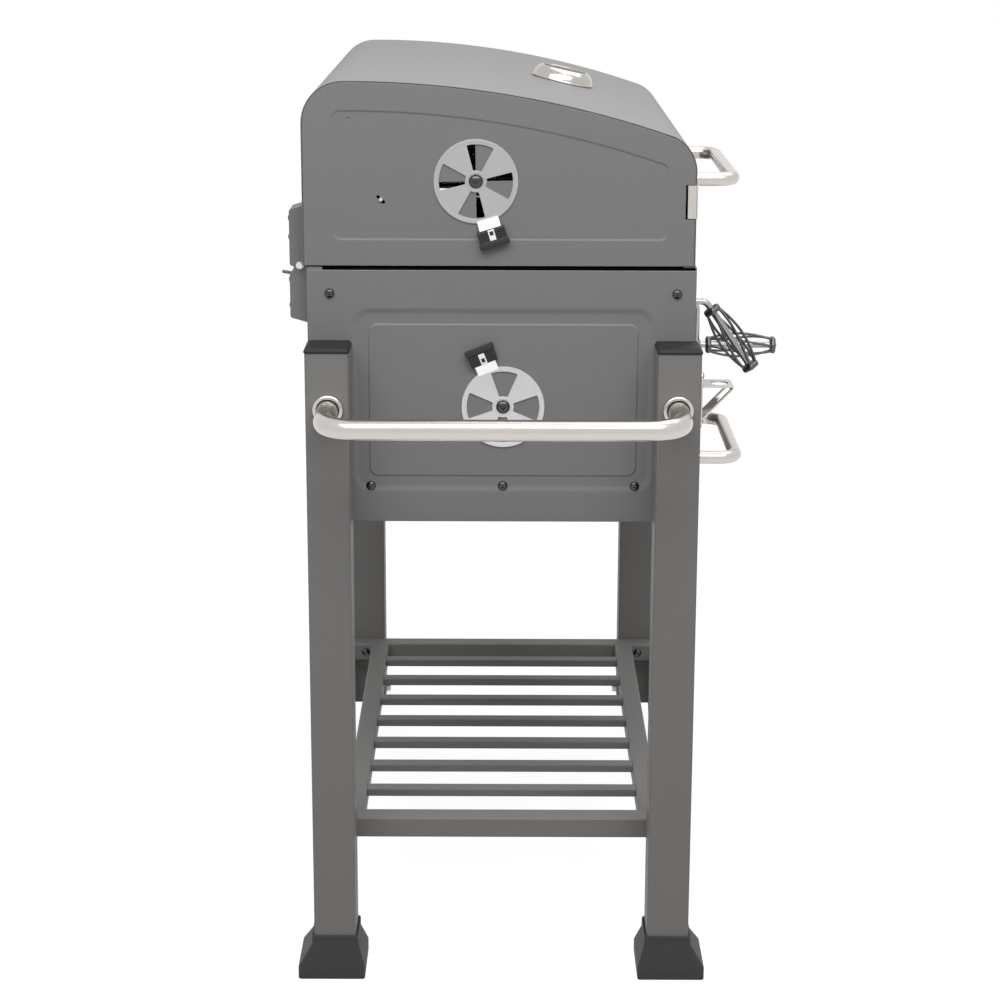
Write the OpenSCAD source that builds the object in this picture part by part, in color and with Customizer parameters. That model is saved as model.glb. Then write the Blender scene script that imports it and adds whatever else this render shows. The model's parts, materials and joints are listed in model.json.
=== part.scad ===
// Charcoal grill cart: a lidded firebox on four legs, with two feet and two wheels,
// a slatted bottom shelf, an adjustable charcoal pan, an ash drawer and a folding side table.
// Millimetres. +Z is up, the front faces -Y, the push handle is at -X and the side table at +X.
// The floor is z = 0 and the origin is under the middle of the whole object.

/* [Legs and shelf] */
// Width of the square leg tube
leg_w = 50; // [46:1:56]
// Wall of the leg tube
leg_wall = 1.8; // [1.2:0.2:3]
// Front to rear distance over the outer faces of the legs
leg_span = 450; // [430:2:480]
// Height of the leg tops
leg_top = 768; // [740:2:790]
// Height of the lower end of the legs that carry the wheels
short_leg_z = 80; // [70:2:84]
// Height of the shelf's upper surface
shelf_z = 182; // [170:2:230]
// Side of the square shelf rails
rail_w = 25; // [20:1:30]
// Number of shelf slats
slat_count = 7; // [5:1:9]
// Width of a shelf slat
slat_w = 18; // [12:1:24]
// Thickness of a shelf slat
slat_t = 10; // [8:1:14]

/* [Feet and wheels] */
// Side of a foot's square base
foot_w = 80; // [76:2:96]
// Height of a foot's collar
foot_h = 53; // [46:1:60]
// Wheel diameter
wheel_d = 200; // [196:2:212]
// Tyre width
tyre_w = 36; // [30:1:40]
// Diameter of the wheel bolt
wheel_bolt_d = 12; // [10:1:14]
// Radial clearance of everything that turns on a pin
pin_clear = 0.05; // [0.02:0.01:0.1]

/* [Firebox] */
// Length of the firebox over its side panels
body_l = 650; // [620:5:720]
// How far the front panel stands behind the front faces of the legs
front_inset = 4; // [2:1:8]
// Height of the firebox's bottom edge
body_z = 556.5; // [545:0.5:562]
// Height of the side panels' top edge
body_top = 855; // [850:0.5:858]
// Thickness of the sheet metal
sheet = 1.5; // [1:0.1:2]
// Depth of the channel pressed into the firebox's sides
press_depth = 4; // [3:0.5:5]
// Depth of the raised middle inside that channel
middle_depth = 1.5; // [1:0.25:2]
// Height of the ledges that carry the cooking grates
ledge_z = 843; // [840:1:845]

/* [Lid] */
// Gap between the firebox and the lid
seam = 5; // [4:0.5:7]
// Height of the lid's crown above the floor
lid_crown = 1069.6; // [1050:1:1090]
// Radius of the long curve across the lid
lid_r = 1130; // [1000:10:1400]
// Radius of the lid's upper rear corner
lid_rear_r = 48; // [40:1:56]
// Radius of the lid's upper front corner
lid_front_r = 44; // [36:1:56]
// Largest opening angle of the lid, in degrees
lid_swing = 80; // [60:1:85]

/* [Air vents] */
// Diameter of a vent disc
vent_d = 96; // [88:1:100]
// Inner radius of the air windows
window_r0 = 12.5; // [11:0.5:16]
// Outer radius of the air windows
window_r1 = 42; // [34:1:43]
// Thickness of a vent disc
vent_t = 1.5; // [1.2:0.1:2]

/* [Handles] */
// Diameter of the push handle's tube
push_d = 24; // [20:1:26]
// Distance of the push handle's bar from the legs
push_reach = 95; // [80:1:120]
// Diameter of the lid and drawer handle tubes
pull_d = 17; // [14:1:20]
// Diameter of the crank and lever rods
rod_d = 8.5; // [7:0.5:9]
// Length of the crank's arm
crank_arm = 57; // [50:1:75]
// Diameter of the wire grips at their widest
grip_d = 33; // [28:1:36]

/* [Charcoal and ash] */
// Height that the charcoal pan is raised by the crank
lift_travel = 50; // [30:1:50]

/* [Side table] */
// Length of the side table
table_l = 292; // [240:2:320]

/* [Hidden] */
$fn = 48;
air = 0.3;                               // gap between pieces that move past each other

// Main planes
half_l = body_l / 2;                     // outer face of a side panel
leg_out = half_l + leg_w;                // outer face of a leg in x
rear_y = leg_span / 2;                   // outer face of the rear panel
front_y = -leg_span / 2 + front_inset;   // outer face of the front panel
leg_c = half_l + leg_w / 2;              // leg centre in x
leg_cy = leg_span / 2 - leg_w / 2;       // leg centre in y
inner_x = half_l - sheet;                // inner face of a side panel
lid_z = body_top + seam;
rail_x = half_l - rail_w - 3;             // inner face of a shelf end rail
rail_y = rear_y - leg_w - 7;             // inner face of a shelf side rail

// Lid outline: s runs to the front, z up
lid_back = rear_y + 4;
lid_front = -front_y - 2;
crown_s = 50 - rear_y;
crown_cz = lid_crown - lid_r;
rear_cs = -lid_back + lid_rear_r;
front_cs = lid_front - lid_front_r;
function corner_z(s, r) = crown_cz + sqrt(pow(lid_r - r, 2) - pow(s - crown_s, 2));
rear_cz = corner_z(rear_cs, lid_rear_r);
front_cz = corner_z(front_cs, lid_front_r);
rear_a = 90 - asin((rear_cs - crown_s) / (lid_r - lid_rear_r));
front_a = 90 - asin((front_cs - crown_s) / (lid_r - lid_front_r));
function arc(cx, cz, r, a0, a1, n) =
    [for (i = [0:n]) let (a = a0 + (a1 - a0) * i / n) [cx + r * cos(a), cz + r * sin(a)]];
function lid_outline(t, drop) = concat(
    [[-lid_back + t, lid_z - drop]],
    arc(rear_cs, rear_cz, lid_rear_r - t, 180, rear_a, 10),
    arc(crown_s, crown_cz, lid_r - t, rear_a - 0.4, front_a + 0.4, 16),
    arc(front_cs, front_cz, lid_front_r - t, front_a, 0, 10),
    [[lid_front - t, lid_z - drop]]);
function lid_top_z(s, t) = crown_cz + sqrt(pow(lid_r - t, 2) - pow(s - crown_s, 2));

// Pressed field of the lid's sides
lid_field_rear = lid_back - 34;
lid_field_front = lid_front - 31;
lid_field_drop = 32;
lid_field_base = lid_z + 29;
lid_field_r = 10;
lid_press = 2.5;
field_lap = sheet / 6;                   // overlap of the sheet and its pressed field
lid_slope = 3;

// Channel pressed into the firebox's sides; its walls slope, and it frames a raised middle
field_half = rear_y - 50;
field_base = body_z + 35.5;
field_top = body_top - 43;
field_r = 20;
channel_w = 17;
channel_wall = 2;

// Hinge line of the lid
hinge_y = rear_y + 9;
hinge_z = lid_z - 3;
hinge_x = 285;
hinge_w = 44;
hinge_t = 2;
hinge_pin_d = 5;
leaf_h = 66;

// Vents: centres as [s, z], the angle of the tab and of the panel windows at rest
lid_vent = [-31.5, lid_z + 97];
lid_tab_a = -73;
lid_window_a = 22.5;
body_vent = [0, body_z + 138.5];
body_tab_a = 112;
body_window_a = 45;
disc_window_a = 66;
window_span = 43;
vent_screw_d = 6;
tab_w = 25;
tab_r = 60;
grip_r = 53;
grip_w = 35;
grip_h = 24;
grip_t = 9;

// Charcoal lift
crank_x = 100;
crank_z = 737;
gear_m = 2;
gear_n = 12;
gear_r = gear_m * gear_n / 2;
gear_pitch = PI * gear_m;
tooth_half = 1.33;
addendum = 1.5;
dedendum = 2.1;
gear_y = front_y + 18;
gear_w = 8;
lever_x = -100;
lever_z = 777;
rod_bend = 9;
crank_y = front_y - 39.5;
grip_len = 86.5;
cap_d = 24;
cap_t = 7.5;
crank_lead = 3.5;                        // rod between the bend and the grip
rod_end = 1.5;                           // rod beyond the grip
pan_z = 650;
pan_x = inner_x - 38.5;
pan_y = rear_y - 45;
pan_h = 30;
rack_top = crank_z + 10;
strap_top = lever_z + 10;
strap_gap = 0.5;

// Ash drawer
drawer_front_x = 245;
drawer_x = drawer_front_x - 17;
drawer_z = body_z + sheet + 2.3;
drawer_h = 40;
drawer_back = pan_y + 5;
drawer_front_z = [545, 612];
drawer_front_t = 15;
drawer_handle_z = 577;
drawer_handle_x = 105;
drawer_handle_reach = 59.5;

// Lid handle
lid_handle_x = 135;
lid_handle_z = lid_z + 75;
lid_handle_reach = 60.5;

// Thermometer
thermo_s = 74;
thermo_tilt = asin((thermo_s - crown_s) / lid_r);
thermo_d = 78;
thermo_h = 16;
dial_d = 56;

// Warming rack
rack_pivot = [89.6 - lid_back, lid_z + 76];
rack_wire = 4.5;
rack_x = inner_x - 23.5;
rack_reach = 170;

// Side table
pivot_x = leg_out + 30;
pivot_z = 785;
table_x0 = leg_out + 5;
table_half = rear_y - 21.5;
table_skirt = 25;
table_up = 10;
bracket_y = table_half - 3.5;
bracket_t = 3;
table_bolt_d = 8;

// Where the origin lies inside the cart's own frame
tip_left = -leg_out - push_reach - push_d / 2;
tip_right = table_x0 + table_l;
grip_total = grip_len + cap_t;
tip_front = crank_y - rod_bend - crank_lead - grip_total - rod_end;
wheel_y = rear_y + 3 + tyre_w / 2;
bolt_tip = wheel_y + tyre_w / 2 + air + 10;
origin_x = (tip_left + tip_right) / 2;
origin_y = (tip_front + bolt_tip) / 2;

paint = "dimgray";
dark = "#333333";
steel = "silver";

module place() { translate([-origin_x, -origin_y, 0]) children(); }

// Draws in the plane of the left side: local x runs to the front, local y up,
// and local z leaves the panel. The right side is its mirror image.
module on_left(x = half_l) { translate([-x, 0, 0]) rotate([90, 0, -90]) children(); }
module on_side(side) {
    if (side < 0) on_left() children();
    else mirror([1, 0, 0]) on_left() children();
}
module both_y() { children(); mirror([0, 1, 0]) children(); }
module both_x() { children(); mirror([1, 0, 0]) children(); }

// A sheet that runs across the cart, from its outline in the side view
module across(w, x = 0) { translate([x + w / 2, 0, 0]) rotate([90, 0, -90]) linear_extrude(w) children(); }

module box(lo, hi) { translate(lo) cube(hi - lo); }

// Low domed screw head standing on z = 0
module dome(d, h) {
    r = (d * d / 4 + h * h) / (2 * h);
    a = asin(d / 2 / r);
    rotate_extrude() polygon(concat([[0, 0]], [for (i = [0:6]) let (b = a - a * i / 6)
        [r * sin(b), r * cos(b) - r + h]]));
}

// Quarter bend of a round rod, from +y towards +x, centred on the bend's axis
module bend(d, r, a = 90) { rotate_extrude(angle = a) translate([r, 0]) circle(d = d); }

// Handle with two stems along +y from y = 0 and a bar along x
module u_handle(d, half, reach, r) {
    for (s = [-1, 1]) translate([s * half, 0, 0]) rotate([-90, 0, 0]) cylinder(d = d, h = reach - r);
    translate([half - r, reach - r, 0]) bend(d, r);
    translate([r - half, reach - r, 0]) rotate([0, 0, 90]) bend(d, r);
    translate([r - half, reach, 0]) rotate([0, 90, 0]) cylinder(d = d, h = 2 * (half - r));
}

module sector(r0, r1, a, span) {
    n = 8;
    polygon(concat(arc(0, 0, r1, a - span / 2, a + span / 2, n),
                   arc(0, 0, r0, a + span / 2, a - span / 2, n)));
}
module windows(a) { for (k = [0:3]) sector(window_r0, window_r1, a + 90 * k, window_span); }

module rounded_field(half, base, top, r) {
    n = 7;
    polygon(concat(arc(half - r, top - r, r, 0, 90, n), arc(r - half, top - r, r, 90, 180, n),
                   arc(r - half, base + r, r, 180, 270, n), arc(half - r, base + r, r, 270, 360, n)));
}

// A field pressed into a sheet: child 0 is its outer edge, child 1 its flat bottom
module pressed_pan(depth) {
    difference() {
        hull() {
            translate([0, 0, -sheet]) linear_extrude(sheet) children(0);
            translate([0, 0, -depth - sheet]) linear_extrude(sheet) children(1);
        }
        hull() {
            linear_extrude(1) offset(delta = -sheet / 3) children(0);
            translate([0, 0, -depth]) linear_extrude(1) offset(delta = -sheet / 3) children(1);
        }
    }
}

// A sheet that rises from height z0 along child 0 to a flat top at z1 with the outline of child 1
module raised_middle(z0, z1) {
    difference() {
        hull() {
            translate([0, 0, z0 - sheet]) linear_extrude(sheet) children(0);
            translate([0, 0, z1 - sheet]) linear_extrude(sheet) children(1);
        }
        hull() {
            translate([0, 0, z0 - sheet - 1]) linear_extrude(1) offset(delta = -sheet / 3) children(0);
            translate([0, 0, z1 - sheet - 1]) linear_extrude(1) offset(delta = -sheet / 3) children(1);
        }
    }
}

// ---- Firebox ----
module body_field(inset) {
    rounded_field(field_half - inset, field_base + inset, field_top - inset, field_r - inset / 2);
}

module side_panel() {
    difference() {
        union() {
            translate([0, 0, -sheet]) linear_extrude(sheet) difference() {
                translate([-rear_y, body_z]) square([rear_y - front_y, body_top - body_z]);
                body_field(field_lap);
            }
            difference() {
                pressed_pan(press_depth) { body_field(0); body_field(channel_wall); }
                translate([0, 0, -press_depth - 2 * sheet]) linear_extrude(3 * sheet)
                    body_field(channel_w + field_lap);
            }
            raised_middle(-press_depth, -middle_depth) {
                body_field(channel_w);
                body_field(channel_w + channel_wall);
            }
        }
        translate([body_vent[0], body_vent[1], -press_depth - 2 * sheet]) {
            linear_extrude(press_depth + 3 * sheet) windows(body_window_a);
            cylinder(d = vent_screw_d, h = press_depth + 3 * sheet);
        }
    }
}
module left_side_panel() { place() color(paint) on_side(-1) side_panel(); }
module right_side_panel() { place() color(paint) on_side(1) side_panel(); }

module front_panel() {
    flange = 25;
    lip = 15;
    place() color(paint) difference() {
        union() {
            box([-inner_x, front_y, body_z], [inner_x, front_y + sheet, lid_z - air]);
            both_x() box([inner_x - sheet, front_y, body_z + sheet],
                         [inner_x, front_y + flange, ledge_z - 2 * sheet - 15]);
            box([-inner_x, front_y, lid_z - air - sheet], [inner_x, front_y + lip, lid_z - air]);
        }
        box([-drawer_x - 3, front_y - 1, body_z + 3], [drawer_x + 3, front_y + 3, drawer_z + drawer_h + 3]);
        for (at = [[crank_x, crank_z], [lever_x, lever_z]]) translate([at[0], front_y - 1, at[1]]) rotate([-90, 0, 0])
            cylinder(d = rod_d + 2 * pin_clear, h = sheet + 2);
    }
}

module rear_panel() {
    flange = 18;
    top = lid_z - 1.5;
    place() color(paint) {
        box([-inner_x, rear_y - sheet, body_z], [inner_x, rear_y, top]);
        both_x() {
            box([inner_x - sheet, rear_y - flange, body_z + sheet], [inner_x, rear_y, ledge_z - 17]);
            box([inner_x - sheet, rear_y - flange, ledge_z - 17], [inner_x, rear_y, top]);
        }
    }
}

module firebox_floor() {
    up = 34;
    place() color(paint) {
        box([-inner_x, front_y + sheet, body_z], [inner_x, rear_y - sheet, body_z + sheet]);
        both_x() box([inner_x - sheet, -leg_cy + 10, body_z], [inner_x, leg_cy - 10, body_z + up]);
    }
}

guide_x = 170;
guide_y = gear_y - 3;
guide_d = 8;
// Ledges for the cooking grates and the two guide rods of the charcoal pan
module firebox_brackets() {
    ledge_w = 20;
    ledge_x = inner_x - 6;
    place() color("gray") {
        box([-ledge_x, front_y + sheet, ledge_z - sheet], [ledge_x, front_y + sheet + ledge_w, ledge_z]);
        box([-ledge_x, front_y + sheet, ledge_z - 14], [ledge_x, front_y + 2 * sheet, ledge_z]);
        box([-ledge_x, rear_y - sheet - ledge_w, ledge_z - sheet], [ledge_x, rear_y - sheet, ledge_z]);
        box([-ledge_x, rear_y - 2 * sheet, ledge_z - 14], [ledge_x, rear_y - sheet, ledge_z]);
        both_x() {
            for (z = [pan_z - 18, pan_z + lift_travel + pan_h + 60]) box(
                [guide_x - 8, front_y + sheet, z], [guide_x + 8, guide_y + 7, z + 8]);
            translate([guide_x, guide_y, pan_z - 18]) cylinder(d = guide_d, h = lift_travel + pan_h + 86);
        }
    }
}

// Two grates side by side; bars run from front to rear
module cooking_grate() {
    w = inner_x - 4;
    y0 = front_y + 4;
    y1 = rear_y - 4;
    bar = 6;
    n = 15;
    pitch = (w - 2 - bar) / n;
    for (i = [0:n]) box([2 + i * pitch, y0, ledge_z], [2 + i * pitch + bar, y1, ledge_z + 11]);
    for (y = [y0, (y0 + y1) / 2 - bar / 2, y1 - bar]) box([2, y, ledge_z], [w, y + bar, ledge_z + 9]);
}
module cooking_grates() { place() color([0.13, 0.13, 0.13]) both_x() cooking_grate(); }

// ---- Cart ----
leg_foot_z = 14;
module leg(z0) {
    r = leg_w / 2;
    bore = r - leg_wall;
    difference() {
        box([-r, -r, z0], [r, r, leg_top]);
        box([-bore, -bore, z0 - 1], [bore, bore, leg_top + 1]);
    }
}
module long_leg(sy) { place() color(paint) translate([-leg_c, sy * leg_cy, 0]) leg(leg_foot_z); }
module short_leg(sy) {
    place() color(paint) translate([leg_c, sy * leg_cy, 0]) difference() {
        leg(short_leg_z);
        translate([0, leg_w, wheel_d / 2]) rotate([90, 0, 0]) cylinder(d = wheel_bolt_d, h = 2 * leg_w);
    }
}
module leg_front_left() { long_leg(-1); }
module leg_rear_left() { long_leg(1); }
module leg_front_right() { short_leg(-1); }
module leg_rear_right() { short_leg(1); }

// Plug with a bevelled lip that is flush with the side panel
module leg_cap() {
    r = leg_w / 2;
    bore = r - leg_wall;
    lip = 1;
    h = 6;
    box([-bore, -bore, leg_top - 14], [bore, bore, leg_top]);
    hull() {
        box([-r - lip, -r - lip, leg_top], [r, r + lip, leg_top + h - 3]);
        box([-r + lip, -r + lip, leg_top], [r - 2 * lip, r - lip, leg_top + h]);
    }
}
module leg_caps() {
    place() color(dark) both_x() both_y() translate([-leg_c, leg_cy, 0]) leg_cap();
}

// Flared shoe with a short square collar
module foot() {
    shift = 4;
    collar = leg_w + 6;
    difference() {
        hull() {
            translate([shift - foot_w / 2, shift - foot_w / 2, 0]) cube([foot_w, foot_w, 16]);
            translate([-collar / 2, -collar / 2, foot_h - 11]) cube([collar, collar, 11]);
        }
        translate([-leg_w / 2 - 0.1, -leg_w / 2 - 0.1, leg_foot_z]) cube([leg_w + 0.2, leg_w + 0.2, 100]);
    }
}
module feet() { place() color(dark) both_y() translate([-leg_c, leg_cy, 0]) foot(); }

module shelf_end_rails() {
    place() color(paint) both_x()
        box([rail_x, 3 - rear_y, shelf_z - rail_w], [half_l, rear_y - 3, shelf_z]);
}
module shelf_side_rails() {
    x = rail_x;
    place() color(paint) both_y() box([-x, rail_y, shelf_z - rail_w], [x, rail_y + rail_w, shelf_z]);
}
module shelf_slats() {
    pitch = (rail_x + half_l) / (slat_count + 1);
    place() color(paint) for (i = [1:slat_count]) let (x = half_l - i * pitch)
        box([x - slat_w, -rail_y, shelf_z - slat_t], [x, rail_y, shelf_z]);
}

push_y = rear_y - 26;
push_z = 703;
rosette_t = 5;
module push_handle() {
    place() color(steel) translate([-leg_out, 0, push_z]) rotate([0, 0, 90])
        u_handle(push_d, push_y, push_reach, 40);
}
module push_handle_rosettes() {
    place() color(steel) both_y() translate([-leg_out, push_y, push_z]) rotate([0, -90, 0]) rotate_extrude()
        polygon(concat([[push_d / 2, 0], [push_d / 2 + 6, 0]],
                       arc(push_d / 2 + 3.2, rosette_t / 2 + 0.2, 2.8, -40, 170, 8), [[push_d / 2, 2]]));
}

// Bent strip on the front left leg
opener_w = 36;
opener_z = 730;
module bottle_opener() {
    t = 2;
    s0 = leg_span / 2;
    s1 = s0 + 37;
    foot_z = opener_z - 37.5;
    place() color(steel) difference() {
        across(opener_w, -leg_c) {
            translate([s0, opener_z - 50]) square([t, 65]);
            translate([s0, opener_z - t]) square([s1 - s0, t]);
            polygon([[s1 - t, opener_z], [s1, opener_z], [s0 + t, foot_z - t], [s0, foot_z]]);
        }
        translate([-leg_c, -s1 + 15, opener_z - 5]) cylinder(d = 20, h = 10);
        translate([-leg_c - 12, -s1 - 1, opener_z - 19]) cube([24, 22, 19 - t]);
    }
}

module screw_on_left(s, z, d = 10, h = 3.4, up = 0) { translate([s, z, up]) dome(d, h); }

// Pivot screw of a vent disc; its head keeps the disc on the panel
module vent_screw(centre, press, side) {
    head_z = -press + 2 * air + vent_t;
    on_side(side) translate([centre[0], centre[1], 0]) {
        translate([0, 0, -press - sheet - 4]) cylinder(d = vent_screw_d, h = head_z + press + sheet + 4);
        translate([0, 0, head_z]) dome(15, 4.5);
        translate([0, 0, -press - sheet - 4]) cylinder(d = 11, h = 4, $fn = 6);
    }
}

corner_drop = 28;                        // screws below the panel's top edge
base_rise = 43;                          // screws above its bottom edge
module panel_screws() {
    place() color(dark) {
        for (side = [-1, 1]) {
            vent_screw(body_vent, middle_depth, side);
            on_side(side) {
                for (s = [-1, 1]) screw_on_left(s * (rear_y - 25), body_top - corner_drop);
                for (s = [-1, 0, 1]) screw_on_left(s * (rear_y - leg_w - 21), body_z + base_rise,
                                                   up = -press_depth);
            }
        }
        for (sx = [-1, 1], sy = [-1, 1]) translate([sx * rail_x, sy * (leg_cy + 2), shelf_z - 12])
            rotate([0, -90 * sx, 0]) dome(9, 3);
        for (z = [opener_z - 44, opener_z + 8]) translate([-leg_c, -leg_span / 2 - 2, z])
            rotate([90, 0, 0]) dome(9, 3);
        for (sx = [-1, 1], dz = [-20, -50]) translate([sx * hinge_x, hinge_y + 12, hinge_z + dz])
            rotate([-90, 0, 0]) dome(9, 3);
    }
}

// ---- Hinges: outlines in the side view, relative to the pin ----
web_y = 12;
web_low = 11.2;
module base_leaf() {
    w = hinge_w;
    back = rear_y - hinge_y;
    flange = [[back, 0], [back, -leaf_h - 1], [web_y, -leaf_h + 5], [web_y, -web_low], [5, -3], [5, 0]];
    translate([0, hinge_y, hinge_z]) {
        for (sx = [-1, 1]) translate([sx * (w / 2 - hinge_t / 2) - hinge_t / 2, 0, 0]) rotate([90, 0, 90])
            linear_extrude(hinge_t) difference() {
                union() { polygon(flange); circle(r = 5); }
                circle(d = hinge_pin_d);
            }
        box([-w / 2, web_y - hinge_t, -leaf_h + 5], [w / 2, web_y, -web_low]);
        translate([-w / 2, 0, 0]) rotate([90, 0, 90]) linear_extrude(w)
            polygon([[back, -leaf_h - 1], [back, -leaf_h + 1], [web_y, -leaf_h + 7], [web_y, -leaf_h + 5]]);
        // Stop rod: the lid's leaf lands on it when the lid is fully open
        rotate([-lid_swing, 0, 0]) translate([0, web_y + 2 + air, 7.5]) cylinder(d = 4, h = 13);
    }
}
module hinge_base_leaves() { place() color(paint) both_x() translate([hinge_x, 0, 0]) base_leaf(); }

module lid_leaf() {
    w = hinge_w - 2 * hinge_t - 1;
    back = lid_back - hinge_y;
    top = leaf_h;
    flange = [[back, 3], [back, top + 3], [web_y, top - 2], [web_y, 0], [0, -5], [-4, -3]];
    translate([0, hinge_y, hinge_z]) {
        for (sx = [-1, 1]) translate([sx * (w / 2 - hinge_t / 2) - hinge_t / 2, 0, 0]) rotate([90, 0, 90])
            linear_extrude(hinge_t) difference() {
                union() { polygon(flange); circle(r = 5); }
                circle(d = hinge_pin_d + 2 * pin_clear);
            }
        box([-w / 2, web_y - hinge_t, 5.5], [w / 2, web_y, top - 2]);
        translate([-w / 2, 0, 0]) rotate([90, 0, 90]) linear_extrude(w)
            polygon([[back, top + 1], [back, top + 3], [web_y, top - 2], [web_y, top - 4]]);
    }
}
module hinge_lid_leaves() { place() color(paint) both_x() translate([hinge_x, 0, 0]) lid_leaf(); }

module hinge_pins() {
    place() color(steel) both_x() translate([hinge_x, hinge_y, hinge_z]) rotate([0, 90, 0]) {
        translate([0, 0, -hinge_w / 2 - 1]) cylinder(d = hinge_pin_d, h = hinge_w + 2);
        for (m = [0, 1]) mirror([0, 0, m]) {
            translate([0, 0, hinge_w / 2]) cylinder(d = 9, h = 1);
            translate([0, 0, hinge_w / 2 + 1]) cylinder(d = 8, h = 2.2);
        }
    }
}

// ---- Wheels ----
module wheel_bolt() {
    washer_d = 22;
    nut_y = leg_cy - leg_w / 2 - 7;
    translate([leg_c, 0, wheel_d / 2]) rotate([-90, 0, 0]) {
        translate([0, 0, nut_y]) cylinder(d = wheel_bolt_d, h = bolt_tip - 4 - nut_y);
        translate([0, 0, nut_y]) cylinder(d = washer_d, h = 7, $fn = 6);
        translate([0, 0, rear_y]) cylinder(d = washer_d, h = 3 - air);
        translate([0, 0, wheel_y + tyre_w / 2 + air]) cylinder(d = washer_d, h = 3);
        translate([0, 0, wheel_y + tyre_w / 2 + air + 3]) dome(washer_d - 4, 7);
    }
}
module wheel_bolts() { place() color(steel) both_y() wheel_bolt(); }

rim_d = 150;
module rim() {
    spoke_n = 6;
    translate([leg_c, 0, wheel_d / 2]) rotate([-90, 0, 0]) difference() {
        translate([0, 0, wheel_y - tyre_w / 2]) {
            cylinder(d = 40, h = tyre_w);
            difference() {
                translate([0, 0, 3]) cylinder(d = rim_d, h = tyre_w - 6);
                translate([0, 0, 2]) cylinder(d = rim_d - 12, h = tyre_w);
            }
            translate([0, 0, tyre_w / 2 - 3]) difference() {
                cylinder(d = rim_d - 6, h = 6);
                for (k = [0:spoke_n - 1]) rotate([0, 0, k * 360 / spoke_n]) translate([46, 0, -1])
                    cylinder(d = 26, h = 8);
            }
        }
        translate([0, 0, wheel_y - tyre_w]) cylinder(d = wheel_bolt_d + 2 * pin_clear, h = 2 * tyre_w);
    }
}
module tyre() {
    r = wheel_d / 2;
    c = 7;
    translate([leg_c, 0, wheel_d / 2]) rotate([-90, 0, 0]) translate([0, 0, wheel_y]) rotate_extrude($fn = 96)
        polygon([[rim_d / 2, -tyre_w / 2 + 3], [rim_d / 2 + 5, -tyre_w / 2], [r - c, -tyre_w / 2],
                 [r - 1.5, -tyre_w / 2 + c], [r, 0], [r - 1.5, tyre_w / 2 - c], [r - c, tyre_w / 2],
                 [rim_d / 2 + 5, tyre_w / 2], [rim_d / 2, tyre_w / 2 - 3]]);
}
module wheel_rim_rear() { place() color(dark) rim(); }
module wheel_rim_front() { place() color(dark) mirror([0, 1, 0]) rim(); }
module tyre_rear() { place() color([0.1, 0.1, 0.1]) tyre(); }
module tyre_front() { place() color([0.1, 0.1, 0.1]) mirror([0, 1, 0]) tyre(); }

// ---- Lid ----
trim_z = [lid_z + 55, lid_z + 93];
trim_return = 10;
module lid_shell() {
    place() color(paint) difference() {
        across(2 * inner_x) difference() {
            polygon(lid_outline(0, 0));
            polygon(lid_outline(sheet, 5));
        }
        at_thermometer() translate([0, 0, -10]) cylinder(d = 10, h = 20);
    }
}
module lid_field(inset) {
    r = lid_r - lid_field_drop;
    s0 = -lid_field_rear;
    s1 = lid_field_front;
    offset(delta = -inset) offset(r = lid_field_r) offset(delta = -lid_field_r)
        polygon(concat([[s0, lid_field_base], [s1, lid_field_base]],
                       arc(crown_s, crown_cz, r, acos((s1 - crown_s) / r), acos((s0 - crown_s) / r), 12)));
}
module lid_side() {
    slot = 4.2;
    cut = sheet + lid_press;
    difference() {
        union() {
            translate([0, 0, -sheet]) linear_extrude(sheet) difference() {
                polygon(lid_outline(0, 0));
                lid_field(field_lap);
                translate([lid_front - trim_return, trim_z[0]])
                    square([trim_return + 1, trim_z[1] - trim_z[0]]);
            }
            pressed_pan(lid_press) { lid_field(0); lid_field(lid_slope); }
        }
        translate([lid_vent[0], lid_vent[1], -cut - 1]) {
            linear_extrude(cut + 2) windows(lid_window_a);
            cylinder(d = vent_screw_d, h = cut + 2);
        }
        translate([rack_pivot[0], rack_pivot[1], -cut - 1]) rotate([0, 0, -45]) {
            cylinder(d = rack_wire + 2 * pin_clear, h = cut + 2);
            for (s = [-1, 1]) translate([s * slot, 0, 0]) cylinder(d = 4, h = cut + 2);
            translate([-slot, -1.5, 0]) cube([2 * slot, 3, cut + 2]);
        }
    }
}
module lid_left_side() { place() color(paint) on_side(-1) lid_side(); }
module lid_right_side() { place() color(paint) on_side(1) lid_side(); }

module lid_trim() {
    place() color(steel) {
        box([-half_l, -lid_front - sheet, trim_z[0]], [half_l, -lid_front, trim_z[1]]);
        both_x() box([inner_x, -lid_front - sheet, trim_z[0]], [half_l, -lid_front + trim_return, trim_z[1]]);
    }
}
module lid_handle() {
    place() color(steel) translate([0, -lid_front - sheet, lid_handle_z]) mirror([0, 1, 0])
        u_handle(pull_d, lid_handle_x, lid_handle_reach + 8.5 - pull_d / 2, 22);
}
module lid_screws() {
    place() color(dark) {
        for (side = [-1, 1]) vent_screw(lid_vent, lid_press, side);
        for (sx = [-1, 1], dz = [30, 52]) translate([sx * hinge_x, hinge_y + 12, hinge_z + dz])
            rotate([-90, 0, 0]) dome(9, 3);
    }
}

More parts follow.
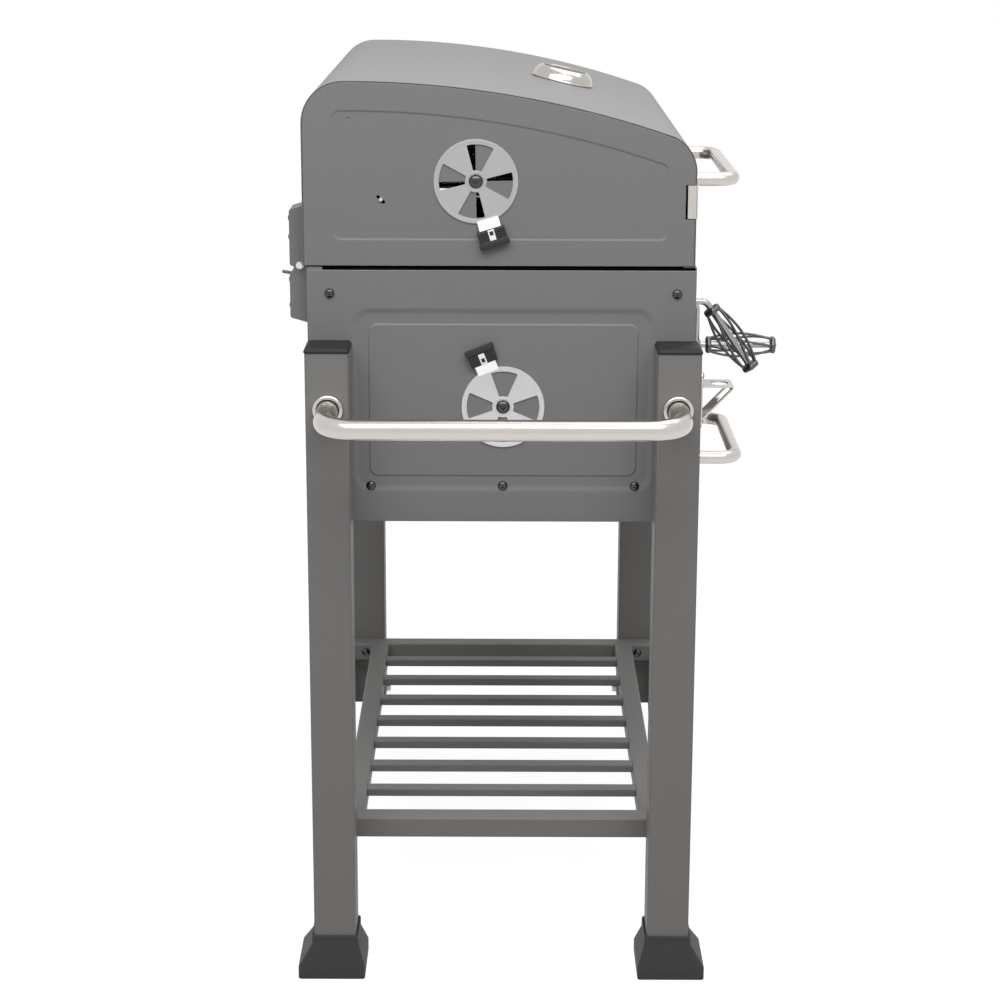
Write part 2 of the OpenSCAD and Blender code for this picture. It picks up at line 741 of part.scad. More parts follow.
// ---- Thermometer ----
module at_thermometer() {
    translate([0, -thermo_s, lid_top_z(thermo_s, 0)]) rotate([thermo_tilt, 0, 0]) children();
}
thermo_floor = 6;
dial_z = 9;
module thermometer_bezel() {
    place() color(steel) at_thermometer() {
        difference() {
            rotate_extrude() polygon([[0, 0], [thermo_d / 2, 0], [thermo_d / 2, 2], [thermo_d / 2 - 4, 5],
                [thermo_d / 2 - 6.5, 10], [thermo_d / 2 - 7.5, thermo_h - 1], [thermo_d / 2 - 8.5, thermo_h],
                [0, thermo_h]]);
            translate([0, 0, thermo_floor]) cylinder(d = dial_d, h = thermo_h);
        }
        translate([0, 0, -42]) cylinder(d = 6, h = 42);
        translate([0, 0, -9]) cylinder(d = 10, h = 9);
        translate([0, 0, -9]) cylinder(d = 17, h = 6.5, $fn = 6);
    }
}
module thermometer_dial() {
    place() color("white") at_thermometer() {
        translate([0, 0, thermo_floor]) cylinder(d = dial_d, h = dial_z - thermo_floor - 1);
        translate([0, 0, thermo_floor]) cylinder(d = 2.4, h = dial_z - thermo_floor + 1.5);
    }
}
module thermometer_needle() {
    place() color("black") at_thermometer() translate([0, 0, dial_z - 0.6]) difference() {
        union() {
            cylinder(d = 6, h = 1);
            rotate([0, 0, 210]) linear_extrude(0.8) polygon([[-8, -1.2], [-8, 1.2], [22, 0.4], [22, -0.4]]);
        }
        translate([0, 0, -1]) cylinder(d = 2.4 + 2 * pin_clear, h = 3);
    }
}
module thermometer_glass() {
    place() color([0.8, 0.9, 0.95, 0.35]) at_thermometer() translate([0, 0, dial_z + 2.2])
        cylinder(d = dial_d, h = 1.6);
}

// ---- Warming rack: hangs on its rear wire in the slots of the lid's sides ----
module warming_rack() {
    y1 = -rack_pivot[0];
    y0 = y1 - rack_reach;
    z = rack_pivot[1];
    bars = 15;
    leg_l = 74;
    place() color(steel) {
        translate([-half_l - 1.5, y1, z]) rotate([0, 90, 0]) cylinder(d = rack_wire, h = body_l + 3);
        translate([-rack_x, y0, z]) rotate([0, 90, 0]) cylinder(d = rack_wire, h = 2 * rack_x);
        for (i = [0:bars]) translate([-rack_x + 2 + i * (2 * rack_x - 4) / bars, y0, z]) rotate([-90, 0, 0])
            cylinder(d = 3.4, h = y1 - y0);
        both_x() translate([rack_x - 22, y0, z - leg_l]) cylinder(d = 3.4, h = leg_l);
    }
}

// ---- Air vents ----
module vent_disc(centre, press, tab_a) {
    translate([centre[0], centre[1], -press + air]) rotate([0, 0, tab_a]) difference() {
        union() {
            cylinder(d = vent_d, h = vent_t);
            translate([30, -tab_w / 2, 0]) cube([tab_r - 30, tab_w, vent_t]);
        }
        translate([0, 0, -1]) linear_extrude(vent_t + 2) windows(disc_window_a);
        translate([0, 0, -1]) cylinder(d = vent_screw_d + 2 * pin_clear, h = vent_t + 2);
    }
}
// Grip on the disc's tab; beyond the tab its back stays clear of the unpressed sheet
module vent_grip(centre, press, tab_a) {
    translate([centre[0], centre[1], -press + air]) rotate([0, 0, tab_a]) difference() {
        union() {
            translate([grip_r, -grip_w / 2, lid_press]) cube([grip_h, grip_w, grip_t - lid_press]);
            translate([grip_r, -grip_w / 2, 0]) cube([tab_r - grip_r, grip_w, grip_t]);
        }
        translate([grip_r - 1, -tab_w / 2, -1]) cube([tab_r - grip_r + 1, tab_w, vent_t + 1]);
    }
}
module vent_body_left() { place() color(steel) on_side(-1) vent_disc(body_vent, middle_depth, body_tab_a); }
module vent_body_right() { place() color(steel) on_side(1) vent_disc(body_vent, middle_depth, body_tab_a); }
module vent_lid_left() { place() color(steel) on_side(-1) vent_disc(lid_vent, lid_press, lid_tab_a); }
module vent_lid_right() { place() color(steel) on_side(1) vent_disc(lid_vent, lid_press, lid_tab_a); }
module body_grip(side) { place() color(dark) on_side(side) vent_grip(body_vent, middle_depth, body_tab_a); }
module lid_grip(side) { place() color(dark) on_side(side) vent_grip(lid_vent, lid_press, lid_tab_a); }
module vent_grip_body_left() { body_grip(-1); }
module vent_grip_body_right() { body_grip(1); }
module vent_grip_lid_left() { lid_grip(-1); }
module vent_grip_lid_right() { lid_grip(1); }

// ---- Charcoal pan and its lift ----
pan_slots = 9;
module charcoal_pan() {
    lug_z = 6;
    lug_h = 16;
    place() color([0.25, 0.25, 0.26]) difference() {
        union() {
            box([-pan_x, -pan_y, pan_z], [pan_x, pan_y, pan_z + pan_h]);
            both_x() box([guide_x - 9, guide_y - 9, pan_z + lug_z],
                         [guide_x + 9, -pan_y + 1, pan_z + lug_z + lug_h]);
        }
        box([-pan_x + 2, -pan_y + 2, pan_z + 2], [pan_x - 2, pan_y - 2, pan_z + pan_h + 1]);
        for (i = [0:pan_slots - 1])
            translate([-pan_x + 40 + i * (2 * pan_x - 90) / (pan_slots - 1), -pan_y + 35, pan_z - 1])
                cube([10, 2 * pan_y - 70, 4]);
        both_x() translate([guide_x, guide_y, pan_z]) cylinder(d = guide_d + 2 * air, h = pan_h);
    }
}
module charcoal_grate() {
    x = pan_x - 6;
    y = pan_y - 6;
    n = 17;
    bar = 6;
    z = pan_z + 2;
    place() color([0.15, 0.15, 0.15]) {
        for (i = [0:n]) translate([-x + i * (2 * x - bar) / n, -y, z]) cube([bar, 2 * y, 8]);
        for (s = [-y, -bar / 2, y - bar]) translate([-x, s, z]) cube([2 * x, bar, 6]);
    }
}

function rack_tooth(z) = let (t = tan(20))
    [[dedendum, z - tooth_half - dedendum * t], [-addendum, z - tooth_half + addendum * t],
     [-addendum, z + tooth_half - addendum * t], [dedendum, z + tooth_half + dedendum * t]];
rack_low = pan_z + 15;
strap_x = lever_x - 20.5 - strap_gap;
strap_t = 3;
// Toothed rack for the crank and plain strap for the lock lever
module lift_rack() {
    x0 = crank_x + gear_r;
    x1 = x0 + 10;
    n0 = -floor((crank_z - pan_z - pan_h - 2) / gear_pitch + 0.5);
    place() color("gray") {
        translate([0, gear_y + gear_w, 0]) rotate([90, 0, 0]) linear_extrude(gear_w) {
            translate([x0 + dedendum, rack_low]) square([x1 - x0 - dedendum, rack_top - rack_low]);
            for (i = [n0:0]) translate([x0, crank_z]) polygon(rack_tooth((i + 0.5) * gear_pitch));
        }
        box([x0 + dedendum, gear_y, rack_low], [x1, -pan_y, rack_low + 12]);
        box([strap_x - strap_t, gear_y, rack_low], [strap_x, gear_y + gear_w, strap_top]);
        box([strap_x - strap_t, gear_y, rack_low], [strap_x, -pan_y, rack_low + 12]);
    }
}

module pinion() {
    half_r = 1.95;
    half_t = 0.62;
    for (k = [0:gear_n - 1]) rotate([0, 0, k * 360 / gear_n])
        polygon([[0, -half_r], [gear_r - dedendum - 0.2, -half_r], [gear_r, -tooth_half],
                 [gear_r + addendum, -half_t], [gear_r + addendum, half_t], [gear_r, tooth_half],
                 [gear_r - dedendum - 0.2, half_r], [0, half_r]]);
    circle(gear_r - dedendum - 0.2);
}

shaft_in = gear_y + gear_w + 5;
// Shaft through the front panel with a collar on either side of the sheet
module front_shaft(x, z, y_end) {
    translate([x, shaft_in, z]) rotate([90, 0, 0]) cylinder(d = rod_d, h = shaft_in - y_end);
    translate([x, front_y + sheet + air + 3, z]) rotate([90, 0, 0]) cylinder(d = rod_d + 7, h = 3);
    translate([x, front_y - air, z]) rotate([90, 0, 0]) cylinder(d = rod_d + 7, h = 2.5);
}
module crank_shaft() {
    place() color(steel) {
        front_shaft(crank_x, crank_z, crank_y + rod_bend);
        translate([crank_x, 0, crank_z]) translate([0, gear_y + gear_w, 0]) rotate([90, 0, 0])
            linear_extrude(gear_w) pinion();
        // Upper bend, arm, lower bend and the rod inside the grip
        translate([crank_x, crank_y + rod_bend, crank_z - rod_bend]) rotate([90, 0, 90]) rotate([0, 0, 90])
            bend(rod_d, rod_bend);
        translate([crank_x, crank_y, crank_z - crank_arm + rod_bend])
            cylinder(d = rod_d, h = crank_arm - 2 * rod_bend);
        translate([crank_x, crank_y - rod_bend, crank_z - crank_arm + rod_bend]) rotate([90, 0, 90])
            rotate([0, 0, -90]) bend(rod_d, rod_bend);
        translate([crank_x, crank_y - rod_bend, crank_z - crank_arm]) rotate([90, 0, 0])
            cylinder(d = rod_d, h = crank_lead + grip_total + rod_end);
    }
}

// Wire grip along +z: two caps and six twisted wires that bulge between them
function wire_r(t) = cap_d / 2 - 2.2 + (grip_d / 2 - 1.3 - cap_d / 2 + 2.2) * pow(sin(180 * t), 0.85);
function wire_point(t, a0) = let (r = wire_r(t),
                                  a = a0 + 100 * t)
    [r * cos(a), r * sin(a), cap_t - 1.5 + t * (grip_len - cap_t + 3)];
module wire(a0) {
    rings = 13;
    sides = 8;
    r = 1.3;
    p = [for (i = [0:rings - 1]) wire_point(i / (rings - 1), a0)];
    pts = [for (i = [0:rings - 1]) let (
        d = p[min(i + 1, rings - 1)] - p[max(i - 1, 0)],
        t = d / norm(d),
        o = [p[i][0], p[i][1], 0] / norm([p[i][0], p[i][1]]),
        u0 = cross(t, o), u = u0 / norm(u0), v = cross(u, t))
        for (k = [0:sides - 1]) p[i] + r * (cos(360 * k / sides) * u + sin(360 * k / sides) * v)];
    side = [for (i = [0:rings - 2], k = [0:sides - 1]) let (k2 = (k + 1) % sides)
        [i * sides + k2, (i + 1) * sides + k2, (i + 1) * sides + k, i * sides + k]];
    polyhedron(pts, concat(side, [[for (k = [sides - 1:-1:0]) k],
                                  [for (k = [0:sides - 1]) (rings - 1) * sides + k]]));
}
module wire_grip() {
    difference() {
        union() {
            cylinder(d = cap_d, h = cap_t, $fn = 32);
            translate([0, 0, grip_len]) cylinder(d = cap_d, h = cap_t, $fn = 32);
        }
        translate([0, 0, -1]) cylinder(d = rod_d, h = grip_total + 2, $fn = 32);
    }
    for (k = [0:5]) wire(60 * k);
}
module crank_grip() {
    place() color(dark) translate([crank_x, crank_y - rod_bend - crank_lead, crank_z - crank_arm]) rotate([90, 0, 0])
        wire_grip();
}

// Lock lever: its grip points down and to the front, its cam bears on the strap
lever_drop = 55;
lever_corner = front_y - 32.5;
lever_bend = 12;
lever_lead = 10;
module on_lever() { translate([lever_x, lever_corner, lever_z]) rotate([90 + lever_drop, 0, 0]) children(); }
module lock_lever() {
    tangent = lever_bend * tan(lever_drop / 2);
    place() color(steel) {
        front_shaft(lever_x, lever_z, lever_corner + tangent);
        translate([lever_x, lever_corner + tangent, lever_z - lever_bend])
            rotate([90, 0, 90]) rotate([0, 0, 90])
            bend(rod_d, lever_bend, lever_drop);
        on_lever() translate([0, 0, tangent])
            cylinder(d = rod_d, h = lever_lead - tangent + grip_total + rod_end);
        translate([lever_x, gear_y + gear_w, lever_z]) rotate([90, 0, 0]) linear_extrude(gear_w) {
            circle(8);
            translate([0, -15.5]) circle(5);
            translate([-5, -15.5]) square([10, 15.5]);
        }
    }
}
module lock_lever_grip() { place() color(dark) on_lever() translate([0, 0, lever_lead]) wire_grip(); }

// ---- Ash drawer ----
drawer_gap = 0.7;
drawer_face = front_y - drawer_gap - drawer_front_t;
module ash_drawer() {
    t = sheet;
    y0 = front_y - drawer_gap;
    place() color(paint) {
        difference() {
            box([-drawer_x, drawer_face + t, drawer_z], [drawer_x, drawer_back, drawer_z + drawer_h]);
            box([-drawer_x + t, y0 + t, drawer_z + t],
                [drawer_x - t, drawer_back - t, drawer_z + drawer_h + 1]);
            box([-drawer_x + t, drawer_face, drawer_z + t], [drawer_x - t, y0, drawer_z + drawer_h - t]);
        }
        difference() {
            box([-drawer_front_x, drawer_face, drawer_front_z[0]], [drawer_front_x, y0, drawer_front_z[1]]);
            box([-drawer_front_x + t, drawer_face + t, drawer_front_z[0] + t],
                [drawer_front_x - t, y0 + 1, drawer_front_z[1] - t]);
        }
    }
}
module ash_drawer_handle() {
    place() color(steel) translate([0, drawer_face, drawer_handle_z]) mirror([0, 1, 0])
        u_handle(pull_d, drawer_handle_x, drawer_handle_reach, 20);
}

// ---- Side table ----
module side_table() {
    t = sheet;
    x1 = table_x0 + table_l;
    top = pivot_z + table_up + t;
    low = top - table_skirt;
    place() color(paint) difference() {
        union() {
            box([table_x0, -table_half, top - t], [x1, table_half, top]);
            both_y() box([table_x0, table_half - t, low], [x1, table_half, top]);
            box([x1 - t, -table_half, low], [x1, table_half, top]);
            box([table_x0, -bracket_y + 6, low], [table_x0 + t, bracket_y - 6, top]);
            for (k = [1, 2]) let (x = table_x0 + k * table_l / 3)
                box([x - 8, -table_half, low + 8], [x + 8, table_half, low + 8 + t]);
        }
        translate([pivot_x, table_half + 2, pivot_z]) rotate([90, 0, 0])
            cylinder(d = table_bolt_d + 2 * pin_clear, h = 2 * table_half + 4);
    }
}
module table_bracket() {
    foot_z = 700;
    difference() {
        union() {
            translate([0, bracket_y + bracket_t / 2, 0]) rotate([90, 0, 0]) linear_extrude(bracket_t) {
                polygon([[leg_out, foot_z], [leg_out, leg_top - 3], [pivot_x - 7, pivot_z + 6],
                         [pivot_x + 8, pivot_z - 5], [leg_out + 4, foot_z]]);
                translate([pivot_x, pivot_z]) circle(9.5);
            }
            box([leg_out, leg_cy - 20, foot_z], [leg_out + bracket_t, leg_cy + 20, leg_top - 3]);
        }
        translate([pivot_x, 0, pivot_z]) rotate([-90, 0, 0]) cylinder(d = table_bolt_d, h = leg_span);
    }
    // Shoulder bolt through the bracket and the table's skirt
    translate([pivot_x, bracket_y - bracket_t / 2 - 6, pivot_z]) rotate([-90, 0, 0]) {
        cylinder(d = table_bolt_d, h = table_half + 5 - bracket_y + bracket_t / 2 + 4);
        cylinder(d = 14, h = 6, $fn = 6);
    }
    translate([pivot_x, table_half + air, pivot_z]) rotate([-90, 0, 0]) dome(15, 5);
}
module table_brackets() { place() color("gray") both_y() table_bracket(); }

hook_n = 4;
module tool_hooks() {
    z = pivot_z + table_up - 10;
    place() color(steel) for (i = [0:hook_n - 1])
        translate([table_x0 + 60 + i * (table_l - 100) / (hook_n - 1), -table_half, z]) {
            rotate([90, 0, 0]) cylinder(d = 9, h = 2);
            translate([0, -1, 0]) rotate([90, 0, 0]) cylinder(d = 4, h = 8);
            translate([0, -9, -9]) rotate([0, 90, 0]) rotate([0, 0, 180]) bend(4, 9, 90);
            translate([0, -18, -9]) rotate([180, 0, 0]) cylinder(d = 4, h = 6);
            translate([0, -24, -15]) rotate([0, 90, 0]) rotate([0, 0, -90]) bend(4, 6, 180);
        }
}

front_panel();
rear_panel();
left_side_panel();
right_side_panel();
firebox_floor();
firebox_brackets();
cooking_grates();
leg_front_left();
leg_rear_left();
leg_front_right();
leg_rear_right();
leg_caps();
feet();
shelf_end_rails();
shelf_side_rails();
shelf_slats();
push_handle();
push_handle_rosettes();
panel_screws();
bottle_opener();
hinge_base_leaves();
hinge_pins();
table_brackets();
wheel_bolts();
lid_shell();
lid_left_side();
lid_right_side();
lid_trim();
lid_handle();
hinge_lid_leaves();
lid_screws();
thermometer_bezel();
thermometer_dial();
thermometer_glass();
thermometer_needle();
warming_rack();
vent_body_left();
vent_body_right();
vent_lid_left();
vent_lid_right();
vent_grip_body_left();
vent_grip_body_right();
vent_grip_lid_left();
vent_grip_lid_right();
charcoal_pan();
charcoal_grate();
lift_rack();
crank_shaft();
crank_grip();
lock_lever();
lock_lever_grip();
ash_drawer();
ash_drawer_handle();
side_table();
tool_hooks();
wheel_rim_front();
wheel_rim_rear();
tyre_front();
tyre_rear();
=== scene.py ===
"""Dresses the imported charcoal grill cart: sheet metal, tubes and plastics in place of the plain solids."""

import json
import math

import bmesh
import bpy
from mathutils import Matrix, Vector
from mathutils.geometry import tessellate_polygon

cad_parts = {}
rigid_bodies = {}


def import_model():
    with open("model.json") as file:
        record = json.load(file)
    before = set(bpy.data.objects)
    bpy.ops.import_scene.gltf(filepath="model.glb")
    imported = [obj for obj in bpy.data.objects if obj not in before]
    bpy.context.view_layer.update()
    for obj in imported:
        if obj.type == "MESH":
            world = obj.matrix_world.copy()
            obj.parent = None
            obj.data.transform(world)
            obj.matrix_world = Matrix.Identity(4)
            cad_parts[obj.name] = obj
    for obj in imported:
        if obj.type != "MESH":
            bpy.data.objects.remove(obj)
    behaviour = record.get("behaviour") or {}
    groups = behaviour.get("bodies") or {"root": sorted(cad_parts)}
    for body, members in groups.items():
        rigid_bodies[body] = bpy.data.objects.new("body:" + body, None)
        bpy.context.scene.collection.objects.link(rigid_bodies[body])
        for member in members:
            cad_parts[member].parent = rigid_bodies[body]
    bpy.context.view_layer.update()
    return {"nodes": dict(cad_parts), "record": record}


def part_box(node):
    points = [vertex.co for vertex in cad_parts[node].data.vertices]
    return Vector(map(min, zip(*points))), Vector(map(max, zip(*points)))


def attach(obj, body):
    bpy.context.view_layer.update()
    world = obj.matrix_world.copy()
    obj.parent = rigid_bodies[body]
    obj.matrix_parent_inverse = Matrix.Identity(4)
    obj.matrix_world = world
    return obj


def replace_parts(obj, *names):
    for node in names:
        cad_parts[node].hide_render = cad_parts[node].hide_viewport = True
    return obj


bl_info = {
    "name": "Charcoal Grill Cart",
    "version": (1, 0, 0),
    "blender": (4, 5, 0),
    "location": "3D Viewport > Sidebar > Grill Cart",
    "description": "Makes a lidded charcoal grill cart around its packed frame",
    "category": "Object",
}

for spare in list(bpy.data.objects):
    bpy.data.objects.remove(spare)
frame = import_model()

RECORD = frame["record"]
BODY_OF = {node: body for body, nodes in RECORD["behaviour"]["bodies"].items() for node in nodes}
JOINT = {joint["name"]: joint for joint in RECORD["behaviour"]["joints"]}


# ---------------------------------------------------------------- reference planes and places

def low(node):
    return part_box(node)[0]


def high(node):
    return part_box(node)[1]


def pivot(joint):
    return Vector(JOINT[joint]["pos_m"])


LEGS = ("leg_front_left", "leg_rear_left", "leg_front_right", "leg_rear_right")
LEFT = low("left_side_panel").x
RIGHT = high("right_side_panel").x
MID_X = (LEFT + RIGHT) / 2
MID_Y = (low("leg_front_left").y + high("leg_rear_left").y) / 2
LID_BASE = low("lid_shell").z
FRONT = low("front_panel").y
REAR = high("rear_panel").y
SIDES = (("left", -1, LEFT), ("right", 1, RIGHT))

# Turned places: local x and y run along X and Z, along Y and Z, or along -X and Z.
STAND = Matrix(((1, 0, 0, 0), (0, 0, -1, 0), (0, 1, 0, 0), (0, 0, 0, 1)))
ALONG_X = Matrix(((0, 0, 1, 0), (1, 0, 0, 0), (0, 1, 0, 0), (0, 0, 0, 1)))
BACKWARDS = Matrix(((-1, 0, 0, 0), (0, 0, 1, 0), (0, 1, 0, 0), (0, 0, 0, 1)))


def at(x=0.0, y=0.0, z=0.0, turn=0.0):
    """A place moved by x, y, z and turned about its own z, in degrees."""
    return Matrix.Translation((x, y, z)) @ Matrix.Rotation(math.radians(turn), 4, "Z")


def side_place(side, x):
    """Plane across the cart: local x runs to the front, local y up, local z to one side."""
    return Matrix(((0, 0, side, x), (-1, 0, 0, MID_Y), (0, 1, 0, 0), (0, 0, 0, 1)))


def facing(x, y, z, normal):
    """A place on a surface whose local z points along a normal."""
    return Matrix.Translation((x, y, z)) @ Vector(normal).to_track_quat("Z", "Y").to_matrix().to_4x4()


def front_of(y):
    """Distance of a point from the cart's middle, counted towards the front."""
    return MID_Y - y


def on_side(joint):
    """A joint's place in the plane of a cart side."""
    return front_of(pivot(joint).y), pivot(joint).z


# ---------------------------------------------------------------- settings

def length(name, text, value):
    return bpy.props.FloatProperty(name=name, description=text, default=value, unit="LENGTH", precision=4)


def colour(name, text, value):
    return bpy.props.FloatVectorProperty(
        name=name, description=text, default=value, subtype="COLOR", size=3, min=0.0, max=1.0)


class CartSizes(bpy.types.PropertyGroup):
    sheet: length("Sheet", "Thickness of the steel sheet", 0.0015)
    fold: length("Fold", "Outer radius where a sheet is folded", 0.0018)
    tube_edge: length("Tube edge", "Outer radius of a square tube's edges", 0.0028)
    crown_radius: length("Crown radius", "Radius of the lid's long arc", 1.130)
    crown_back: length("Crown place", "Distance of the lid's highest point from the rear panel", 0.050)
    lid_rear_radius: length("Rear radius", "Radius of the lid's rear edge", 0.048)
    lid_front_radius: length("Front radius", "Radius of the lid's front edge", 0.044)
    channel_depth: length("Channel depth", "Depth of the channel pressed into a firebox side", 0.0016)
    channel_width: length("Channel width", "Width of that channel at its top", 0.019)
    channel_outer_wall: length("Channel outer wall", "Width of the channel's outer sloping wall", 0.009)
    channel_inner_wall: length("Channel inner wall", "Width of the channel's inner sloping wall", 0.0022)
    middle_depth: length("Middle depth", "Depth of the sheet inside the channel", 0.0006)
    lid_field_depth: length("Lid field depth", "Depth of the field pressed into a lid side", 0.0009)
    lid_field_wall: length("Lid field wall", "Width of that field's sloping wall", 0.003)
    lid_sheet: length("Lid sheet", "Thickness of the lid's shell at its edges", 0.0008)
    lid_joint: length("Lid joint", "Gap between the lid's shell and its sides", 0.0007)
    lid_return: length("Band return", "How far the steel band wraps round the lid's sides", 0.010)
    rod: length("Rod radius", "Radius of the crank's and the lever's rods", 0.00425)
    grip_cap: length("Grip cap", "Radius of the caps of the wire grips", 0.012)
    push_bend: length("Push bar bend", "Bend radius of the push bar", 0.040)
    pull_bend: length("Pull bend", "Bend radius of the lid and drawer handles", 0.021)


class CartColours(bpy.types.PropertyGroup):
    panel_paint: colour("Panels", "Powder coat of the firebox and lid", (0.205, 0.200, 0.204))
    leg_paint: colour("Legs", "Powder coat of the legs and shelf", (0.210, 0.204, 0.196))
    steel: colour("Steel", "Brushed stainless steel", (0.58, 0.55, 0.52))
    disc_steel: colour("Vent discs", "Satin steel of the vent discs", (0.44, 0.44, 0.45))
    plated: colour("Plating", "Bright plated steel", (0.70, 0.70, 0.70))
    dark_plated: colour("Screws", "Black chrome of the screws", (0.072, 0.072, 0.072))
    plastic: colour("Plastic", "Moulded plastic of feet, caps and grips", (0.047, 0.047, 0.048))
    wire: colour("Grip wire", "Dark wire of the crank grips", (0.125, 0.120, 0.118))
    iron: colour("Iron", "Black enamelled iron of the grates", (0.022, 0.022, 0.022))
    rubber: colour("Rubber", "Rubber of the tyres", (0.022, 0.022, 0.022))


class CartStage(bpy.types.PropertyGroup):
    camera_gap: length("Camera distance", "Camera to the outer face of the left legs", 2.4271)
    camera_height: length("Camera height", "Camera above the floor", 1.2896)
    camera_offset: length("Camera offset", "Camera behind the cart's middle", 0.0035)
    camera_pitch: bpy.props.FloatProperty(
        name="Camera pitch", description="Downward tilt", default=0.2325, subtype="ANGLE")
    camera_roll: bpy.props.FloatProperty(
        name="Camera roll", description="Turn about the line of sight", default=0.003, subtype="ANGLE")
    lens: bpy.props.FloatProperty(
        name="Lens", description="Focal length on a 36 mm sensor", default=79.18, unit="CAMERA")
    shift: bpy.props.FloatProperty(
        name="Shift", description="Vertical lens shift", default=-0.10, subtype="FACTOR")


def sizes():
    return bpy.context.scene.cart_sizes


# ---------------------------------------------------------------- shader expressions

def maths_method(operation, reflected=False):
    """A method of Term that makes one maths node."""
    def apply(self, other):
        return self.maths(operation, other, self) if reflected else self.maths(operation, self, other)
    return apply


class Term:
    """A shader value that can be used in a Python expression."""

    def __init__(self, tree, socket):
        self.tree = tree
        self.socket = socket

    def maths(self, operation, *values):
        node = self.tree.nodes.new("ShaderNodeMath")
        node.operation = operation
        for socket, value in zip(node.inputs, values):
            if isinstance(value, Term):
                self.tree.links.new(value.socket, socket)
            else:
                socket.default_value = value
        return Term(self.tree, node.outputs[0])

    __add__ = maths_method("ADD")
    __radd__ = maths_method("ADD", reflected=True)
    __sub__ = maths_method("SUBTRACT")
    __rsub__ = maths_method("SUBTRACT", reflected=True)
    __mul__ = maths_method("MULTIPLY")
    __rmul__ = maths_method("MULTIPLY", reflected=True)
    __gt__ = maths_method("GREATER_THAN")
    __lt__ = maths_method("LESS_THAN")


class Finish:
    """A material or a world under construction."""

    def __init__(self, name, world=None, **constants):
        self.material = world or bpy.data.materials.new(name)
        self.material.use_nodes = True
        self.tree = self.material.node_tree
        self.shader = self.tree.nodes["Background" if world else "Principled BSDF"]
        for socket, value in constants.items():
            self.shader.inputs[socket.replace("_", " ")].default_value = value

    def node(self, kind, settings=None, output=0, **inputs):
        """Any node: its settings first, then the values or links of its sockets."""
        node = self.tree.nodes.new("ShaderNode" + kind)
        for name, value in (settings or {}).items():
            if name == "stops":
                for element, (place, shade) in zip(node.color_ramp.elements, value):
                    element.position = place
                    element.color = (shade, shade, shade, 1.0)
            else:
                setattr(node, name, value)
        for name, value in inputs.items():
            socket = node.inputs[int(name[1:]) if name[1:].isdigit() else name.replace("_", " ")]
            if isinstance(value, Term):
                self.tree.links.new(value.socket, socket)
            else:
                socket.default_value = value
        return Term(self.tree, node.outputs[output])

    def seen(self):
        """1 where a ray comes from the camera, a reflection or a clear surface."""
        camera, glossy, clear = [self.node("LightPath", output=f"Is {kind} Ray")
                                 for kind in ("Camera", "Glossy", "Transmission")]
        return (camera + glossy + clear) > 0.5

    def noise(self, scale, detail, rough, stretch=(1.0, 1.0, 1.0)):
        """Noise over the object in metres, finer along an axis with a larger stretch."""
        where = self.node("Mapping", Vector=self.node("TexCoord", output="Object"), Scale=stretch)
        return self.node("TexNoise", Vector=where, Scale=scale, Detail=detail, Roughness=rough)

    def patches(self, value, start, full):
        """0 where a value is below the start, rising to 1 where it is full."""
        return self.node("ValToRGB", {"stops": ((start, 0.0), (full, 1.0))}, Fac=value)

    def tint(self, base, shade):
        """A colour scaled by a value that varies over the surface."""
        return self.node("VectorMath", {"operation": "SCALE"}, i0=base, Scale=shade)

    def set(self, **sockets):
        for name, value in sockets.items():
            self.tree.links.new(value.socket, self.shader.inputs[name.replace("_", " ")])

    def done(self, base, shade, rough, relief=None, depth=0.0):
        """Links a tinted base colour, a roughness and a relief of some depth, and gives the material."""
        self.set(Base_Color=self.tint(base, shade), Roughness=rough)
        if relief:
            self.set(Normal=self.node("Bump", Height=relief, Distance=depth))
        return self.material


def powder_coat(name, base, streak):
    """Semi-matt powder coat: fine orange peel, faint mottling and drawn lines."""
    finish = Finish(name, Specular_IOR_Level=0.42)
    peel = finish.noise(1500.0, 2.0, 0.55)
    patch = finish.noise(7.0, 4.0, 0.6)
    grain = finish.noise(700.0, 2.0, 0.6)
    drawn = finish.noise(1.0, 3.0, 0.6, (420.0, 420.0, 9.0))
    shade = 0.955 + patch * 0.05 + grain * 0.05 + drawn * streak
    return finish.done(base, shade, 0.47 + patch * 0.08 + grain * 0.06, peel * 0.7 + grain * 0.6, 0.00010)


def brushed_steel(name, base, along, roughness=0.22):
    """Brushed stainless steel whose lines run along one axis: 0, 1 or 2."""
    finish = Finish(name, Metallic=1.0)
    line = finish.noise(1.0, 3.0, 0.65, [12.0 if axis == along else 2600.0 for axis in range(3)])
    cloud = finish.noise(26.0, 3.0, 0.55)
    rough = (roughness - 0.07) + line * 0.12 + cloud * 0.05
    return finish.done(base, 0.90 + line * 0.16 + cloud * 0.05, rough, line, 0.00004)


def plated(name, base, roughness=0.14):
    """Plated metal with slight clouding and fine handling marks."""
    finish = Finish(name, Metallic=1.0)
    cloud = finish.noise(60.0, 4.0, 0.6)
    mark = finish.noise(900.0, 2.0, 0.5)
    return finish.done(base, 0.93 + cloud * 0.12, roughness + cloud * 0.10 + mark * 0.04, mark, 0.00003)


def moulded(name, base, roughness=0.60, grain=900.0):
    """Moulded plastic with a spark-eroded grain and slightly paler scuffs."""
    finish = Finish(name, Specular_IOR_Level=0.3)
    speck = finish.noise(grain, 3.0, 0.6)
    cloud = finish.noise(18.0, 4.0, 0.6)
    scuff = finish.patches(finish.noise(55.0, 6.0, 0.75), 0.58, 0.80)
    shade = 0.88 + cloud * 0.16 + speck * 0.10 + scuff * 0.30
    return finish.done(base, shade, (roughness - 0.05) + cloud * 0.08 + speck * 0.06, speck, 0.00016)


